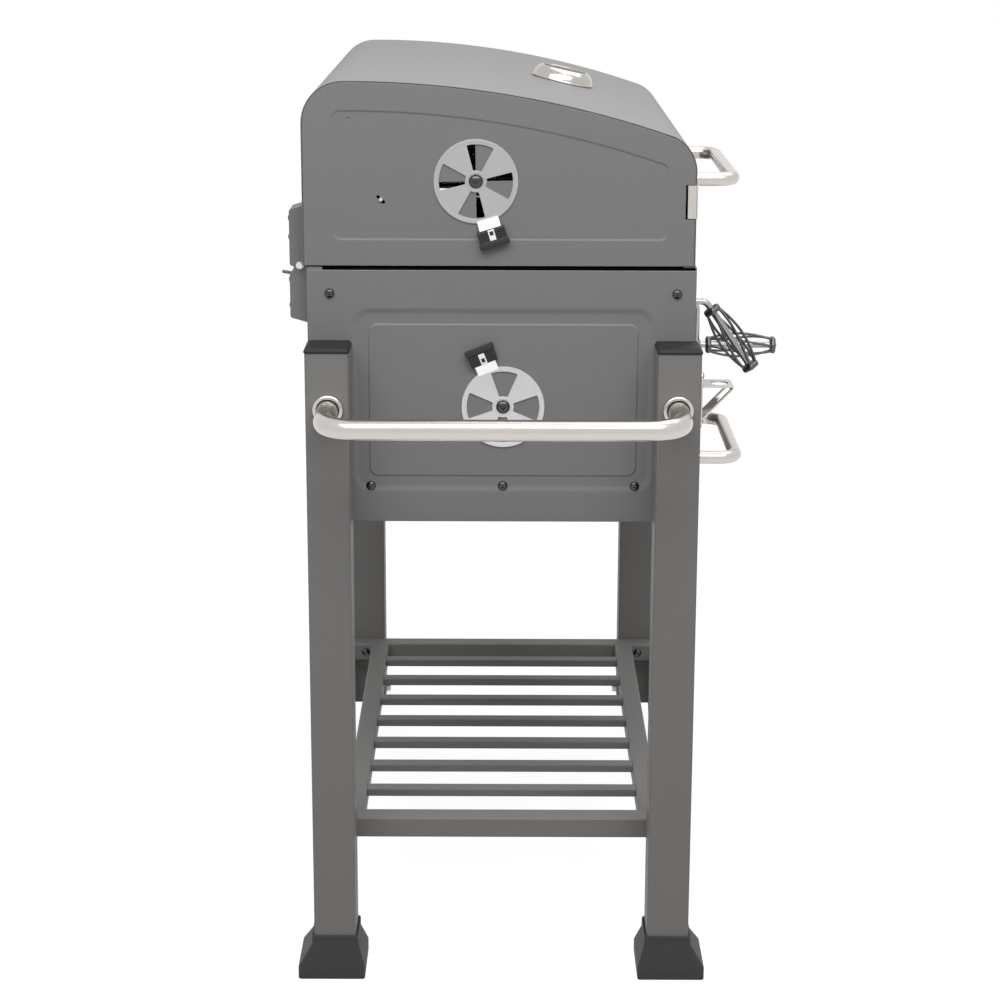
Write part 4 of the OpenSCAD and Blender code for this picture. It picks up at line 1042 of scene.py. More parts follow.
class CART_OT_screws(CartOperator):
    """Makes the black chrome screws of the firebox, shelf, hinges, opener and vents"""
    bl_idname = "cart.screws"
    bl_label = "Screws"

    def vent_bolts(self, bm, part, press):
        """Domed pivot screws of the vent discs with their nuts behind the pressed sheet."""
        for name, side, x in SIDES:
            place = side_place(side, x - side * press) @ at(*on_side(f"vent_{part}_{name}_pivot"))
            screw_head(bm, place @ at(z=0.0019), 0.0081, 0.0050, 0.0064)
            plate(bm, hexagon(0.010), -0.0085, -0.0045, place)

    def hinge_screws(self, bm, heights):
        """Screws of the hinge leaves, at heights counted from the pins."""
        pin, web = pivot("lid_hinge"), 0.012
        for x in hinge_places():
            for height in heights:
                screw_head(bm, facing(x, pin.y + web, pin.z + height, (0, 1, 0)))

    def execute(self, context):
        s = sizes()
        lo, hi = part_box("left_side_panel")
        upper_x, upper_z = hi.y - MID_Y - 0.026, hi.z - 0.027
        lower_x, lower_z = hi.y - MID_Y - 0.071, lo.z + 0.043
        spots = [(way * upper_x, upper_z) for way in (-1, 1)]
        spots += [(way * lower_x, lower_z, -s.channel_depth) for way in (-1, 0, 1)]
        bm = bmesh.new()
        self.vent_bolts(bm, "body", s.middle_depth)
        for _, side, x in SIDES:
            for spot in spots:
                screw_head(bm, side_place(side, x) @ at(*spot), 0.0056, 0.0038, 0.0030)
        lo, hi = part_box("shelf_side_rails")
        leg_middle = (low("leg_rear_left").y + high("leg_rear_left").y) / 2 - MID_Y + 0.002
        for x, inward in ((lo.x, 1), (hi.x, -1)):
            for way in (-1, 1):
                place = facing(x, MID_Y + way * leg_middle, hi.z - 0.012, (inward, 0, 0))
                screw_head(bm, place, 0.0058, 0.0036, 0.004)
        self.hinge_screws(bm, (-0.020, -0.050))
        lo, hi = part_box("bottle_opener")
        for z in (lo.z + 0.006, hi.z - 0.007):
            screw_head(bm, facing((lo.x + hi.x) / 2, hi.y - 0.002, z, (0, -1, 0)), shank=0.0018)
        dress("panel_screws", bm, "dark_plated")

        bm = bmesh.new()
        self.vent_bolts(bm, "lid", s.lid_field_depth)
        self.hinge_screws(bm, (0.030, 0.052))
        dress("lid_screws", bm, "dark_plated")
        return {"FINISHED"}


class CART_OT_bottle_opener(CartOperator):
    """Makes the bent bottle opener on the front left leg"""
    bl_idname = "cart.bottle_opener"
    bl_label = "Bottle opener"

    def execute(self, context):
        lo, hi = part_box("bottle_opener")
        thick, middle, half = 0.002, (lo.x + hi.x) / 2, (hi.x - lo.x) / 2
        shelf_z, foot_rise = hi.z - 0.015, 0.0125
        bm = bmesh.new()
        plate(bm, rectangle(lo.x, lo.z, hi.x, hi.z, 0.006), 0.0, thick, at(y=hi.y) @ STAND)
        mouth = circle(0.010, 36, (middle, lo.y + 0.015))
        plate(bm, rectangle(lo.x, lo.y, hi.x, hi.y, 0.003), shelf_z - thick, shelf_z, holes=[mouth])
        back, down = hi.y - lo.y - 0.001, shelf_z - lo.z - foot_rise
        tilt = Matrix.Rotation(-math.atan2(down, back), 4, "X")
        place = Matrix.Translation((middle, lo.y + thick / 2, shelf_z - thick)) @ tilt
        slot_half, near, far, tip, tooth = 0.012, 0.0040, 0.0240, 0.0195, 0.003
        slot = [(-slot_half, near), (slot_half, near), (slot_half, far), (tooth, far), (0.0, tip),
                (-tooth, far), (-slot_half, far)]
        blade = rectangle(-half, 0.0, half, math.hypot(back, down), 0.001, 2)
        plate(bm, blade, -thick, 0.0, place, holes=[rounded(slot, 0.0012, 3)])
        dress("bottle_opener", bm, "steel_z")
        return {"FINISHED"}


class CART_OT_hinges(CartOperator):
    """Makes the folded hinge leaves, their stop rods and pins"""
    bl_idname = "cart.hinges"
    bl_label = "Hinges"

    def leaf(self, bm, x, width, cheek, web):
        """Two cheeks joined by a bent web; the outlines are counted from the pin."""
        thick, pin = 0.002, pivot("lid_hinge")
        place = Matrix.Translation((x, pin.y, pin.z)) @ ALONG_X
        for z in (-width / 2, width / 2 - thick):
            plate(bm, cheek, z, z + thick, place, holes=[circle(0.00255, 20)])
        web = thick_line(rounded(web, 0.0035, 4, closed=False), thick)
        plate(bm, web, (thick - width) / 2, (width - thick) / 2, place, 0.0003)

    def execute(self, context):
        lo, hi = low("hinge_base_leaves"), high("hinge_lid_leaves")
        pin, eye, web_foot = pivot("lid_hinge"), 0.005, -0.0112
        web_y, wall, foot = hi.y - pin.y, REAR - pin.y, lo.z - pin.z
        bend = (web_y, foot + 0.006)
        cheek = [(wall, 0), (wall, foot), bend, (web_y, web_foot)] + arc((0, 0), eye, -30, 180, 10)
        cheek = rounded(cheek, [0, 0.001, 0.003, 0.003] + [0] * 11, 4)
        swing = math.radians(JOINT["lid_hinge"]["range_deg"][1])
        up = Vector((math.sin(swing), math.cos(swing)))
        side = Vector((up.y, -up.x)) * (web_y + 0.0023)
        bm = bmesh.new()
        for x in hinge_places():
            self.leaf(bm, x, 0.044, cheek, [(wall, foot), bend, (web_y, web_foot)])
            rod = [side + up * reach for reach in (0.0075, 0.0195, 0.0205)]
            sweep(bm, [(x, pin.y + p.x, pin.z + p.y) for p in rod], [0.002, 0.002, 0.0012], 16)
        dress("hinge_base_leaves", bm, "leg_paint")

        wall, top = low("hinge_lid_leaves").y - pin.y, hi.z - pin.z
        bend = (web_y, top - 0.005)
        cheek = [(wall, top), (wall, 0.003)] + arc((0, 0), eye, 190, 300, 8) + [(web_y, 0.0), bend]
        cheek = rounded(cheek, [0.001] + [0] * 10 + [0.003, 0.003], 4)
        bm = bmesh.new()
        for x in hinge_places():
            self.leaf(bm, x, 0.039, cheek, [(web_y, 0.0055), bend, (wall, top)])
        dress("hinge_lid_leaves", bm, "leg_paint")

        profile = [(0.0025, 0.0), (0.0025, 0.022), (0.0045, 0.022), (0.0045, 0.023), (0.0040, 0.023),
                   (0.0040, 0.0244), (0.0033, PIN_HALF), (0.0, PIN_HALF)]
        bm = bmesh.new()
        for x in hinge_places():
            for way in (-1, 1):
                lathe(bm, profile, facing(x, pin.y, pin.z, (way, 0, 0)), 24)
        dress("hinge_pins", bm, "plated")
        return {"FINISHED"}


class CART_OT_wheels(CartOperator):
    """Makes the wheels, their grooved tyres and their bolts"""
    bl_idname = "cart.wheels"
    bl_label = "Wheels"

    def rim(self, bm, place, radius, half):
        """Hub, pierced web with six ribs, and outer band."""
        hub, bore, chamfer, wall = 0.020, 0.00605, 0.0025, half - 0.003
        hub_section = [(bore, -half), (hub - chamfer, -half), (hub, chamfer - half)]
        ring(bm, hub_section + [(r, -z) for r, z in reversed(hub_section)], place, 40)
        band = [(radius - 0.007, -0.004), (radius - 0.006, -wall), (radius - 0.001, -wall),
                (radius, 0.001 - wall)]
        ring(bm, band + [(r, -z) for r, z in reversed(band)], place, 72)
        web = radius - 0.003
        holes = [circle(0.013, 24, turned([(0.046, 0.0)], 60 * k, (0, 0))[0]) for k in range(6)]
        plate(bm, circle(web, 72), -0.003, 0.003, place, holes=[circle(0.008, 24), *holes])
        rib = [(0.018, -0.011), (radius - 0.006, -0.009), (radius - 0.006, 0.009), (0.018, 0.011)]
        for k in range(6):
            plate(bm, rib, -0.0015, 0.0015, place @ at(turn=30 + 60 * k) @ STAND, 0.0003)

    def tyre(self, bm, place, rim, radius, half):
        """A tyre with three grooves round its tread."""
        shoulder = [(rim, 0.003 - half), (rim + 0.005, -half), (radius - 0.009, -half),
                    (radius - 0.004, 0.0022 - half), (radius - 0.0015, 0.006 - half)]
        section = list(shoulder)
        for groove in (-0.0066, 0.0, 0.0066):
            crown, floor = radius - 0.0006 if groove else radius, radius - 0.003
            section += [(crown, groove - 0.0014), (floor, groove - 0.0009), (floor, groove + 0.0009),
                        (crown, groove + 0.0014)]
        ring(bm, section + [(r, -z) for r, z in reversed(shoulder)], place, 96)

    def execute(self, context):
        for name, way in (("front", -1), ("rear", 1)):
            rim, tyre = f"wheel_rim_{name}", f"tyre_{name}"
            place = facing(*pivot(f"wheel_{name}_spin"), (0, way, 0))
            half, radius = (high(rim).y - low(rim).y) / 2, (high(rim).z - low(rim).z) / 2
            bm = bmesh.new()
            self.rim(bm, place, radius, half)
            dress(rim, bm, "plastic")
            bm = bmesh.new()
            self.tyre(bm, place, radius, (high(tyre).z - low(tyre).z) / 2, half)
            dress(tyre, bm, "rubber")

        lo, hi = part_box("wheel_bolts")
        hub = pivot("wheel_rear_spin")
        shaft, head = 0.006, 0.011
        leg = high("leg_rear_right").y - MID_Y
        nut = leg - 0.057
        bm = bmesh.new()
        for way, tip in ((-1, MID_Y - lo.y), (1, hi.y - MID_Y)):
            place = facing(hub.x, MID_Y, hub.z, (0, way, 0))
            face = tip - 0.010
            lathe(bm, [(0.0, nut), (shaft, nut), (shaft, face), (head, face), (head, face + 0.0024),
                       (0.0105, face + 0.003), (0.009, face + 0.003), (0.0075, tip - 0.0028),
                       (0.0045, tip - 0.0007), (0.0, tip)], place, 40)
            ring(bm, [(shaft, leg), (head, leg), (head, leg + 0.0026), (shaft, leg + 0.0026)], place, 32)
            plate(bm, hexagon(0.019), nut, nut + 0.007, place, 0.0006)
        dress("wheel_bolts", bm, "zinc")
        return {"FINISHED"}


# ---------------------------------------------------------------- operators: lid

class CART_OT_lid(CartOperator):
    """Makes the lid's arched shell, its two pressed sides and the steel band"""
    bl_idname = "cart.lid"
    bl_label = "Lid"

    def execute(self, context):
        s = sizes()
        lo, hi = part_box("lid_shell")
        edge = 0.0002
        bm = bmesh.new()
        for outer, inner, x0, x1 in ((0.0, s.lid_sheet, LEFT + edge, RIGHT - edge),
                                     (s.lid_sheet / 2, s.lid_joint + s.sheet, lo.x, hi.x)):
            plate(bm, lid_line(outer)[::-1] + lid_line(inner), x0, x1, side_place(1, 0.0), edge)
        dress("lid_shell", bm, "lid_paint")

        corner = high("lid_left_side")
        steps = s_curve(0.0, s.lid_field_wall, 0.0, -s.lid_field_depth)
        keyhole = rectangle(-0.0062, -0.0019, 0.0062, 0.0019, 0.0018, 5)
        keyhole = turned(keyhole, -45, on_side("warming_rack_pivot"))
        dimple = ((front_of(corner.y) + 0.054, corner.z - 0.0426), 0.0022)
        for name, side, x in SIDES:
            holes = air_windows(on_side(f"vent_lid_{name}_pivot"), 22.5) + [keyhole]
            bm = bmesh.new()
            pressed_sheet(bm, side_place(side, x), lid_side_outline(), lid_field, steps, holes, [dimple])
            dress(f"lid_{name}_side", bm, "lid_paint")

        lo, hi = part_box("lid_trim")
        path = rounded([(lo.x, hi.y), (lo.x, lo.y), (hi.x, lo.y), (hi.x, hi.y)], 0.003, 5, closed=False)
        bm = bmesh.new()
        plate(bm, thick_line(path, s.sheet), lo.z, hi.z)
        dress("lid_trim", bm, "steel_x")
        return {"FINISHED"}


class CART_OT_pulls(CartOperator):
    """Makes the lid's and the ash drawer's handles"""
    bl_idname = "cart.pulls"
    bl_label = "Handles"

    def execute(self, context):
        for node in ("lid_handle", "ash_drawer_handle"):
            u_bar(node, "steel_x", sizes().pull_bend, 12, 32, opens="y")
        return {"FINISHED"}


class CART_OT_thermometer(CartOperator):
    """Makes the lid thermometer: stepped bezel, numbered dial, needle and glass"""
    bl_idname = "cart.thermometer"
    bl_label = "Thermometer"

    def number(self, bm, text, size, place):
        """Adds plain digits as flat raised strokes."""
        curve = bpy.data.curves.new("digits", "FONT")
        curve.body = text
        curve.size = size
        curve.align_x = "CENTER"
        curve.align_y = "CENTER"
        curve.extrude = 0.00006
        holder = bpy.data.objects.new("digits", curve)
        bpy.context.scene.collection.objects.link(holder)
        bpy.context.view_layer.update()
        mesh = bpy.data.meshes.new_from_object(holder.evaluated_get(bpy.context.evaluated_depsgraph_get()))
        mesh.transform(place)
        bm.from_mesh(mesh)
        bpy.data.meshes.remove(mesh)
        bpy.data.objects.remove(holder)
        bpy.data.curves.remove(curve)

    def base(self):
        """Plane of the lid's front under the bezel: local x along X, local z outwards."""
        joint = JOINT["thermometer_needle_pivot"]
        normal = -Vector(joint["axis"]).normalized()
        across = Vector((1, 0, 0))
        base = Matrix((across, normal.cross(across), normal)).transposed().to_4x4()
        base.translation = pivot(joint["name"]) - normal * 0.009
        return base

    def scale(self, base):
        """Marks, numbers and two coloured arcs on the dial."""
        face, print_height, marks, start, span = 0.00795, 0.00012, 24, 210, 240
        bm = bmesh.new()
        for i in range(marks + 1):
            turn = at(turn=start - span * i / marks)
            inner = 0.0240 if i % 4 else 0.0225
            mark = rectangle(inner, -0.0003, 0.0262, 0.0003)
            plate(bm, mark, face, face + print_height, base @ turn, 0.00003)
            if i % 4 == 0:
                spot = turn @ Vector((0.0185, 0.0, 0.00806))
                self.number(bm, str(50 * (i // 4)), 0.0050, base @ Matrix.Translation(spot))
        make("thermometer_scale", bm, "dial_black", "thermometer_dial")
        for name, shade, first, last in (("thermometer_warm_arc", "dial_black", 92, 150),
                                         ("thermometer_hot_arc", "dial_red", -30, 88)):
            bm = bmesh.new()
            band = arc((0, 0), 0.0150, first, last, 24) + arc((0, 0), 0.0136, last, first, 24)
            plate(bm, band, face, face + print_height, base, 0.00003)
            make(name, bm, shade, "thermometer_dial")

    def execute(self, context):
        base = self.base()
        bm = bmesh.new()
        lathe(bm, [(0.0, 0.0), (0.0386, 0.0), (0.0390, 0.0005), (0.0390, 0.0014), (0.0384, 0.0020),
                   (0.0381, 0.0032), (0.0374, 0.0060), (0.0363, 0.0086), (0.0348, 0.0110), (0.0330, 0.0131),
                   (0.0310, 0.0147), (0.0296, 0.0155), (0.0286, 0.0157), (0.0280, 0.0150), (0.0278, 0.0120),
                   (0.0278, 0.0060), (0.0, 0.0060)], base, 96)
        lathe(bm, [(0.0, -0.042), (0.0022, -0.042), (0.0030, -0.0412), (0.0030, -0.009), (0.0050, -0.009),
                   (0.0050, 0.0), (0.0, 0.0)], base, 32)
        plate(bm, hexagon(0.0147), -0.009, -0.0025, base, 0.0005)
        dress("thermometer_bezel", bm, "bezel_steel")

        bm = bmesh.new()
        dial = [(0.0, 0.0060), (0.0277, 0.0060), (0.0277, 0.0078), (0.0272, 0.0080), (0.0, 0.0080)]
        post = [(0.0, 0.0079), (0.0012, 0.0079), (0.0012, 0.0103), (0.0008, 0.0105), (0.0, 0.0105)]
        lathe(bm, dial, base, 72)
        lathe(bm, post, base, 20)
        dress("thermometer_dial", bm, "dial_white")
        self.scale(base)

        bm = bmesh.new()
        blade = [(-0.008, -0.0013), (0.018, -0.0007), (0.022, 0.0), (0.018, 0.0007), (-0.008, 0.0013)]
        plate(bm, blade, 0.0084, 0.0090, base @ at(turn=210), 0.0001)
        hub = [(0.00125, 0.0084), (0.0030, 0.0084), (0.0030, 0.0092), (0.0024, 0.0094), (0.00125, 0.0094)]
        ring(bm, hub, base, 24)
        dress("thermometer_needle", bm, "dial_black")

        bm = bmesh.new()
        lathe(bm, [(0.0, 0.0112), (0.0279, 0.0112), (0.0279, 0.0121), (0.0200, 0.0125), (0.0100, 0.0127),
                   (0.0, 0.0128)], base, 64)
        dress("thermometer_glass", bm, "glass")
        return {"FINISHED"}


class CART_OT_warming_rack(CartOperator):
    """Makes the wire warming rack that hangs in the lid"""
    bl_idname = "cart.warming_rack"
    bl_label = "Warming rack"

    def execute(self, context):
        lo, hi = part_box("warming_rack")
        rod, wire, half, count, tip = 0.00225, 0.0017, 0.300, 15, 0.0006
        pin, front = pivot("warming_rack_pivot"), lo.y + rod
        bm = bmesh.new()
        for y, x0, x1 in ((pin.y, lo.x, hi.x), (front, MID_X - half, MID_X + half)):
            line = [(x, y, pin.z) for x in (x0, x0 + tip, x1 - tip, x1)]
            sweep(bm, line, [rod * 0.75, rod, rod, rod * 0.75], 20)
        reach = half - 0.002
        for i in range(count + 1):
            x = MID_X - reach + 2 * reach * i / count
            sweep(bm, [(x, front, pin.z), (x, pin.y, pin.z)], wire, 14)
        for x in (MID_X - half + 0.022, MID_X + half - 0.022):
            sweep(bm, [(x, front, z) for z in (pin.z, lo.z + tip, lo.z)], [wire, wire, wire * 0.6], 14)
        dress("warming_rack", bm, "plated")
        return {"FINISHED"}


class CART_OT_vents(CartOperator):
    """Makes the four vent discs and their plastic grips"""
    bl_idname = "cart.vents"
    bl_label = "Air vents"

    def disc(self, node, finish, place):
        """A disc with four windows, two raised beads and a bent tongue that carries the grip."""
        radius, tab_half = 0.048, 0.0125
        notch = math.degrees(math.asin(tab_half / radius))
        outline = [(0.0484, -tab_half), (0.0484, tab_half)] + arc((0, 0), radius, notch, 360 - notch, 84)
        bm = bmesh.new()
        plate(bm, outline, 0.0, 0.0010, place, 0.0002, [circle(0.00305, 24)] + air_windows((0, 0), 66))
        for inner, outer in ((0.0440, 0.0478), (0.0098, 0.0118)):
            ring(bm, [(inner, 0.0008), (outer, 0.0008), (outer - 0.0002, 0.0013), (outer - 0.0008, 0.0015),
                      (inner + 0.0008, 0.0015), (inner + 0.0002, 0.0013)], place, 96)
        dress(node, bm, finish)
        bm = bmesh.new()
        tongue = thick_line([(0.0440, 0.0006), (0.0475, 0.0010), (0.0585, 0.0052)], 0.0009)
        plate(bm, tongue, -tab_half, tab_half, place @ STAND, 0.0002)
        make(node + "_tongue", bm, "bright_steel", node)

    def grip(self, node, back, place):
        """A ribbed plastic grip with a cross bar and a steel clip; back is the height of its underside."""
        edge = 0.0012
        upright = place @ STAND
        body = [(0.0555, back), (0.0770, back), (0.0770, 0.0086), (0.0735, 0.0090), (0.0705, 0.0088),
                (0.0695, 0.0074), (0.0575, 0.0066), (0.0555, 0.0050)]
        radii = [0.0006, 0.0012, 0.0010, 0.0010, 0.0010, 0.0008, 0.0012, 0.0008]
        bm = bmesh.new()
        plate(bm, rounded(body, radii, 3), -0.0160, 0.0160, upright, edge, steps=3)
        bar_section = rectangle(0.0712, back, 0.0770, 0.0086, 0.0014, 4)
        plate(bm, bar_section, -0.0175, 0.0175, upright, edge, steps=3)
        rib = rectangle(0.0580, 0.0060, 0.0690, 0.0078, 0.0005, 2)
        for k in range(4):
            for way in (-1, 1):
                y = way * (0.0066 + 0.0025 * k)
                plate(bm, rib, y - 0.0005, y + 0.0005, upright, 0.0003)
        dress(node, bm, "grip_plastic")
        bm = bmesh.new()
        clip = rectangle(0.0566, -0.0037, 0.0690, 0.0037, 0.0005, 3)
        window = rectangle(0.0585, -0.0020, 0.0632, 0.0020, 0.0004, 3)
        plate(bm, clip, 0.0062, 0.0082, place, holes=[window])
        make(node + "_clip", bm, "bright_steel", node)

    def execute(self, context):
        # The body discs take a brighter copy of the disc steel. The extra brightness is painted light, not a
        # different metal.
        for part, finish, tab_angle, press, back in (
                ("body", "pale_disc_steel", 112, sizes().middle_depth, 0.0028),
                ("lid", "disc_steel", -73, sizes().lid_field_depth, 0.0022)):
            for name, side, x in SIDES:
                node = f"vent_{part}_{name}"
                place = side_place(side, x - side * (press - 0.0003))
                place = place @ at(*on_side(node + "_pivot"), turn=tab_angle)
                self.disc(node, finish, place)
                self.grip(f"vent_grip_{part}_{name}", back, place)
        return {"FINISHED"}


# ---------------------------------------------------------------- operators: crank, lever, drawer, table

def wire_grip(bm, place, total):
    """Two lobed caps and six twisted wires that bulge between them, along local z from 0."""
    cap, height, lobes, lobe = sizes().grip_cap, 0.0075, 6, 0.0006
    rim = [(0.0030, 0.0), (0.0012, 0.0006), (0.0002, 0.0020), (0.0, height / 2)]
    rim += [(inward, height - z) for inward, z in rim[2::-1]]

    def lobed(inward):
        return lambda a: cap - inward - lobe + lobe * math.cos(lobes * a)
    for foot in (0.0, total - height):
        loft(bm, [round_loop(lobed(inward), foot + z, place, 48) for inward, z in rim])
    start, bulge, wire, twist, steps = cap - 0.0026, 0.0062, 0.0017, 55, 20
    run = total - 2 * height + 0.003
    for k in range(lobes):
        path = []
        for part in (i / steps for i in range(steps + 1)):
            r = start + bulge * math.sin(math.pi * part) ** 0.85
            a = math.radians(360 / lobes * k + twist * part)
            path.append(place @ Vector((r * math.cos(a), r * math.sin(a), height - 0.0015 + run * part)))
        sweep(bm, path, wire, 12)


def shaft_collars(bm, joint, rod):
    """The two collars that hold a shaft in the front panel."""
    hub, edge, radius = pivot(joint), 0.0005, rod + 0.0035
    for y, way, width in ((FRONT - 0.0003, -1, 0.0025), (FRONT + sizes().sheet + 0.0003, 1, 0.003)):
        section = [(rod, 0.0), (radius - edge, 0.0), (radius, edge), (radius, width - edge),
                   (radius - edge, width), (rod, width)]
        ring(bm, section, facing(hub.x, y, hub.z, (0, way, 0)), 32)


def lift_depths():
    """Where the pinion and the cam, which work on the lift rack, start and end along Y."""
    start, width = low("lift_rack").y, 0.008
    return start, start + width


class CART_OT_crank(CartOperator):
    """Makes the crank that lifts the charcoal pan, with its pinion and wire grip"""
    bl_idname = "cart.crank"
    bl_label = "Crank"

    def execute(self, context):
        lo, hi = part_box("crank_shaft")
        grip_lo, grip_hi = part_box("crank_grip")
        hub, rod = pivot("crank_turn"), sizes().rod
        arm_y, low_z = grip_hi.y + 0.0125, (grip_lo.z + grip_hi.z) / 2
        corners = [(hi.y, hub.z), (arm_y, hub.z), (arm_y, low_z), (lo.y + ROD_TIP, low_z)]
        line = [(hub.x, *p) for p in rounded(corners, 0.009, 10, closed=False)] + [(hub.x, lo.y, low_z)]
        bm = bmesh.new()
        tipped_rod(bm, line, rod)
        shaft_collars(bm, "crank_turn", rod)
        teeth, module = 12, 0.002
        pitch_r = teeth * module / 2
        root, crest = pitch_r - 0.0022, pitch_r + 0.0014
        flank = [(root, -0.0021), (pitch_r, -0.0013), (crest, -0.0006)]
        flank += [(r, -along) for r, along in reversed(flank)]
        tooth = [arc((0, 0), r, math.degrees(along / r), 0, 1)[0] for r, along in flank]
        outline = [p for k in range(teeth) for p in turned(tooth, 360 * k / teeth, (0, 0))]
        plate(bm, outline, *lift_depths(), Matrix.Translation((hub.x, 0, hub.z)) @ BACKWARDS, 0.0002)
        dress("crank_shaft", bm, "rod_steel")
        bm = bmesh.new()
        wire_grip(bm, facing(hub.x, grip_hi.y, low_z, (0, -1, 0)), grip_hi.y - grip_lo.y)
        dress("crank_grip", bm, "wire")
        return {"FINISHED"}


class CART_OT_lock_lever(CartOperator):
    """Makes the lever that locks the pan's height, with its cam and wire grip"""
    bl_idname = "cart.lock_lever"
    bl_label = "Lock lever"

    def execute(self, context):
        lo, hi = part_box("lock_lever")
        hub = pivot("lock_lever_turn")
        rod, drop = sizes().rod, math.radians(55)
        lead, grip = 0.010, 0.094
        reach = lead + grip + 0.0015
        way = Vector((0, -math.cos(drop), -math.sin(drop)))
        corner = Vector((hub.x, lo.y + rod * math.sin(drop) - way.y * reach, hub.z))
        near_end = corner + way * (reach - ROD_TIP)
        corners = [(hi.y, hub.z), (corner.y, hub.z), (near_end.y, near_end.z)]
        line = [(hub.x, *p) for p in rounded(corners, 0.012, 8, closed=False)] + [corner + way * reach]
        bm = bmesh.new()
        tipped_rod(bm, line, rod)
        shaft_collars(bm, "lock_lever_turn", rod)
        cam = arc((0, 0), 0.008, 0, 180, 14) + arc((0, -0.0155), 0.005, 180, 360, 12)
        plate(bm, cam, *lift_depths(), Matrix.Translation((hub.x, 0, hub.z)) @ BACKWARDS)
        dress("lock_lever", bm, "rod_steel")
        bm = bmesh.new()
        wire_grip(bm, facing(*(corner + way * lead), way), grip)
        dress("lock_lever_grip", bm, "wire")
        return {"FINISHED"}


class CART_OT_ash_drawer(CartOperator):
    """Makes the ash drawer with its folded front"""
    bl_idname = "cart.ash_drawer"
    bl_label = "Ash drawer"

    def execute(self, context):
        sheet = sizes().sheet
        lo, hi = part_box("ash_drawer")
        floor = low("front_panel").z + sheet + 0.0023
        bm = bmesh.new()
        folded_tray(bm, at(y=lo.y) @ STAND, rectangle(lo.x, lo.z, hi.x, hi.z, 0.003, 4), 0.015, 0.0025)
        upside_down = at(z=floor) @ Matrix.Rotation(math.pi, 4, "X")
        behind_front = lo.y + sheet + 0.0002
        outline = rectangle(lo.x + DRAWER_LAP, -hi.y, hi.x - DRAWER_LAP, -behind_front, 0.003, 4)
        folded_tray(bm, upside_down, outline, 0.040, 0.0022)
        dress("ash_drawer", bm, "lid_paint")
        return {"FINISHED"}


class CART_OT_side_table(CartOperator):
    """Makes the folding side table, its brackets and its tool hooks"""
    bl_idname = "cart.side_table"
    bl_label = "Side table"

    def top(self):
        """A folded tray with two hat-shaped stiffeners under it."""
        sheet = sizes().sheet
        lo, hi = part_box("side_table")
        bm = bmesh.new()
        folded_tray(bm, at(z=hi.z), rectangle(lo.x, lo.y, hi.x, hi.y, 0.012, 6), hi.z - lo.z, 0.004)
        under, brim = hi.z - sheet - 0.0003, lo.z + 0.009
        half_hat = [(0.014, under), (0.008, under), (0.006, brim)]
        for k in (1, 2):
            x = lo.x + k * (hi.x - lo.x) / 3
            hat = [(x - w, z) for w, z in half_hat] + [(x + w, z) for w, z in half_hat[::-1]]
            strip = thick_line(rounded(hat, 0.0015, 3, closed=False)[::-1], 0.0012)
            plate(bm, strip[::-1], sheet - hi.y, -lo.y - sheet, STAND, 0.0003)
        dress("side_table", bm, "panel_paint")

    def brackets(self):
        """Two plates on the right legs, each with an arm, a bolt and two screws."""
        lo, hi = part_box("table_brackets")
        hub, half, thick = pivot("side_table_fold"), 0.020, 0.003
        top = high("leg_front_right").z - 0.003
        eye = arc((hub.x, hub.z), 0.0095, -35, 125, 12)
        arm = [(lo.x, lo.z), (lo.x + 0.006, lo.z), *eye, (lo.x, top)]
        bolt_back = 0.0075
        face = bolt_back + 0.0038
        bm = bmesh.new()
        for way, end in ((-1, lo.y), (1, hi.y)):
            y = end - way * half
            plate(bm, arm, -y - thick / 2, thick / 2 - y, STAND, holes=[circle(0.004, 24, (hub.x, hub.z))])
            foot = rectangle(y - half, lo.z, y + half, top, 0.003)
            plate(bm, foot, lo.x, lo.x + thick, ALONG_X, 0.0005)
            for z in (lo.z + 0.012, top - 0.012):
                screw_head(bm, facing(lo.x + thick, y + way * 0.012, z, (1, 0, 0)))
            bolt = facing(hub.x, y - way * bolt_back, hub.z, (0, way, 0))
            plate(bm, hexagon(0.0125), 0.0, 0.006, bolt, 0.0006)
            lathe(bm, [(0.0, 0.0), (0.004, 0.0), (0.004, face), (0.0075, face), (0.0070, face + 0.0018),
                       (0.0050, face + 0.0038), (0.0, face + 0.0048)], bolt, 32)
        dress("table_brackets", bm, "leg_paint")

    def hooks(self):
        """Four bent hooks on round plates along the table's front edge."""
        lo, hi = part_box("tool_hooks")
        count, rod, radius = 4, 0.002, 0.0045
        line = [(0.0, 0.0)] + arc((0.009, -0.009), 0.009, 90, 0, 8)
        line += arc((0.024, -0.015), 0.006, 180, 360, 12) + [(0.030, -0.0135)]
        profile = [(0.0, 0.0), (radius, 0.0), (radius, 0.0014), (radius - 0.0006, 0.002), (0.0, 0.002)]
        bm = bmesh.new()
        for i in range(count):
            x = lo.x + radius + i * (hi.x - lo.x - 2 * radius) / (count - 1)
            z = hi.z - radius
            hook = [(x, hi.y - out, z + up) for out, up in line]
            tipped_rod(bm, hook, rod, 0.7, 16)
            lathe(bm, profile, facing(x, hi.y, z, (0, -1, 0)), 32)
        dress("tool_hooks", bm, "plated")

    def execute(self, context):
        self.top()
        self.brackets()
        self.hooks()
        return {"FINISHED"}


# ---------------------------------------------------------------- operator: stage

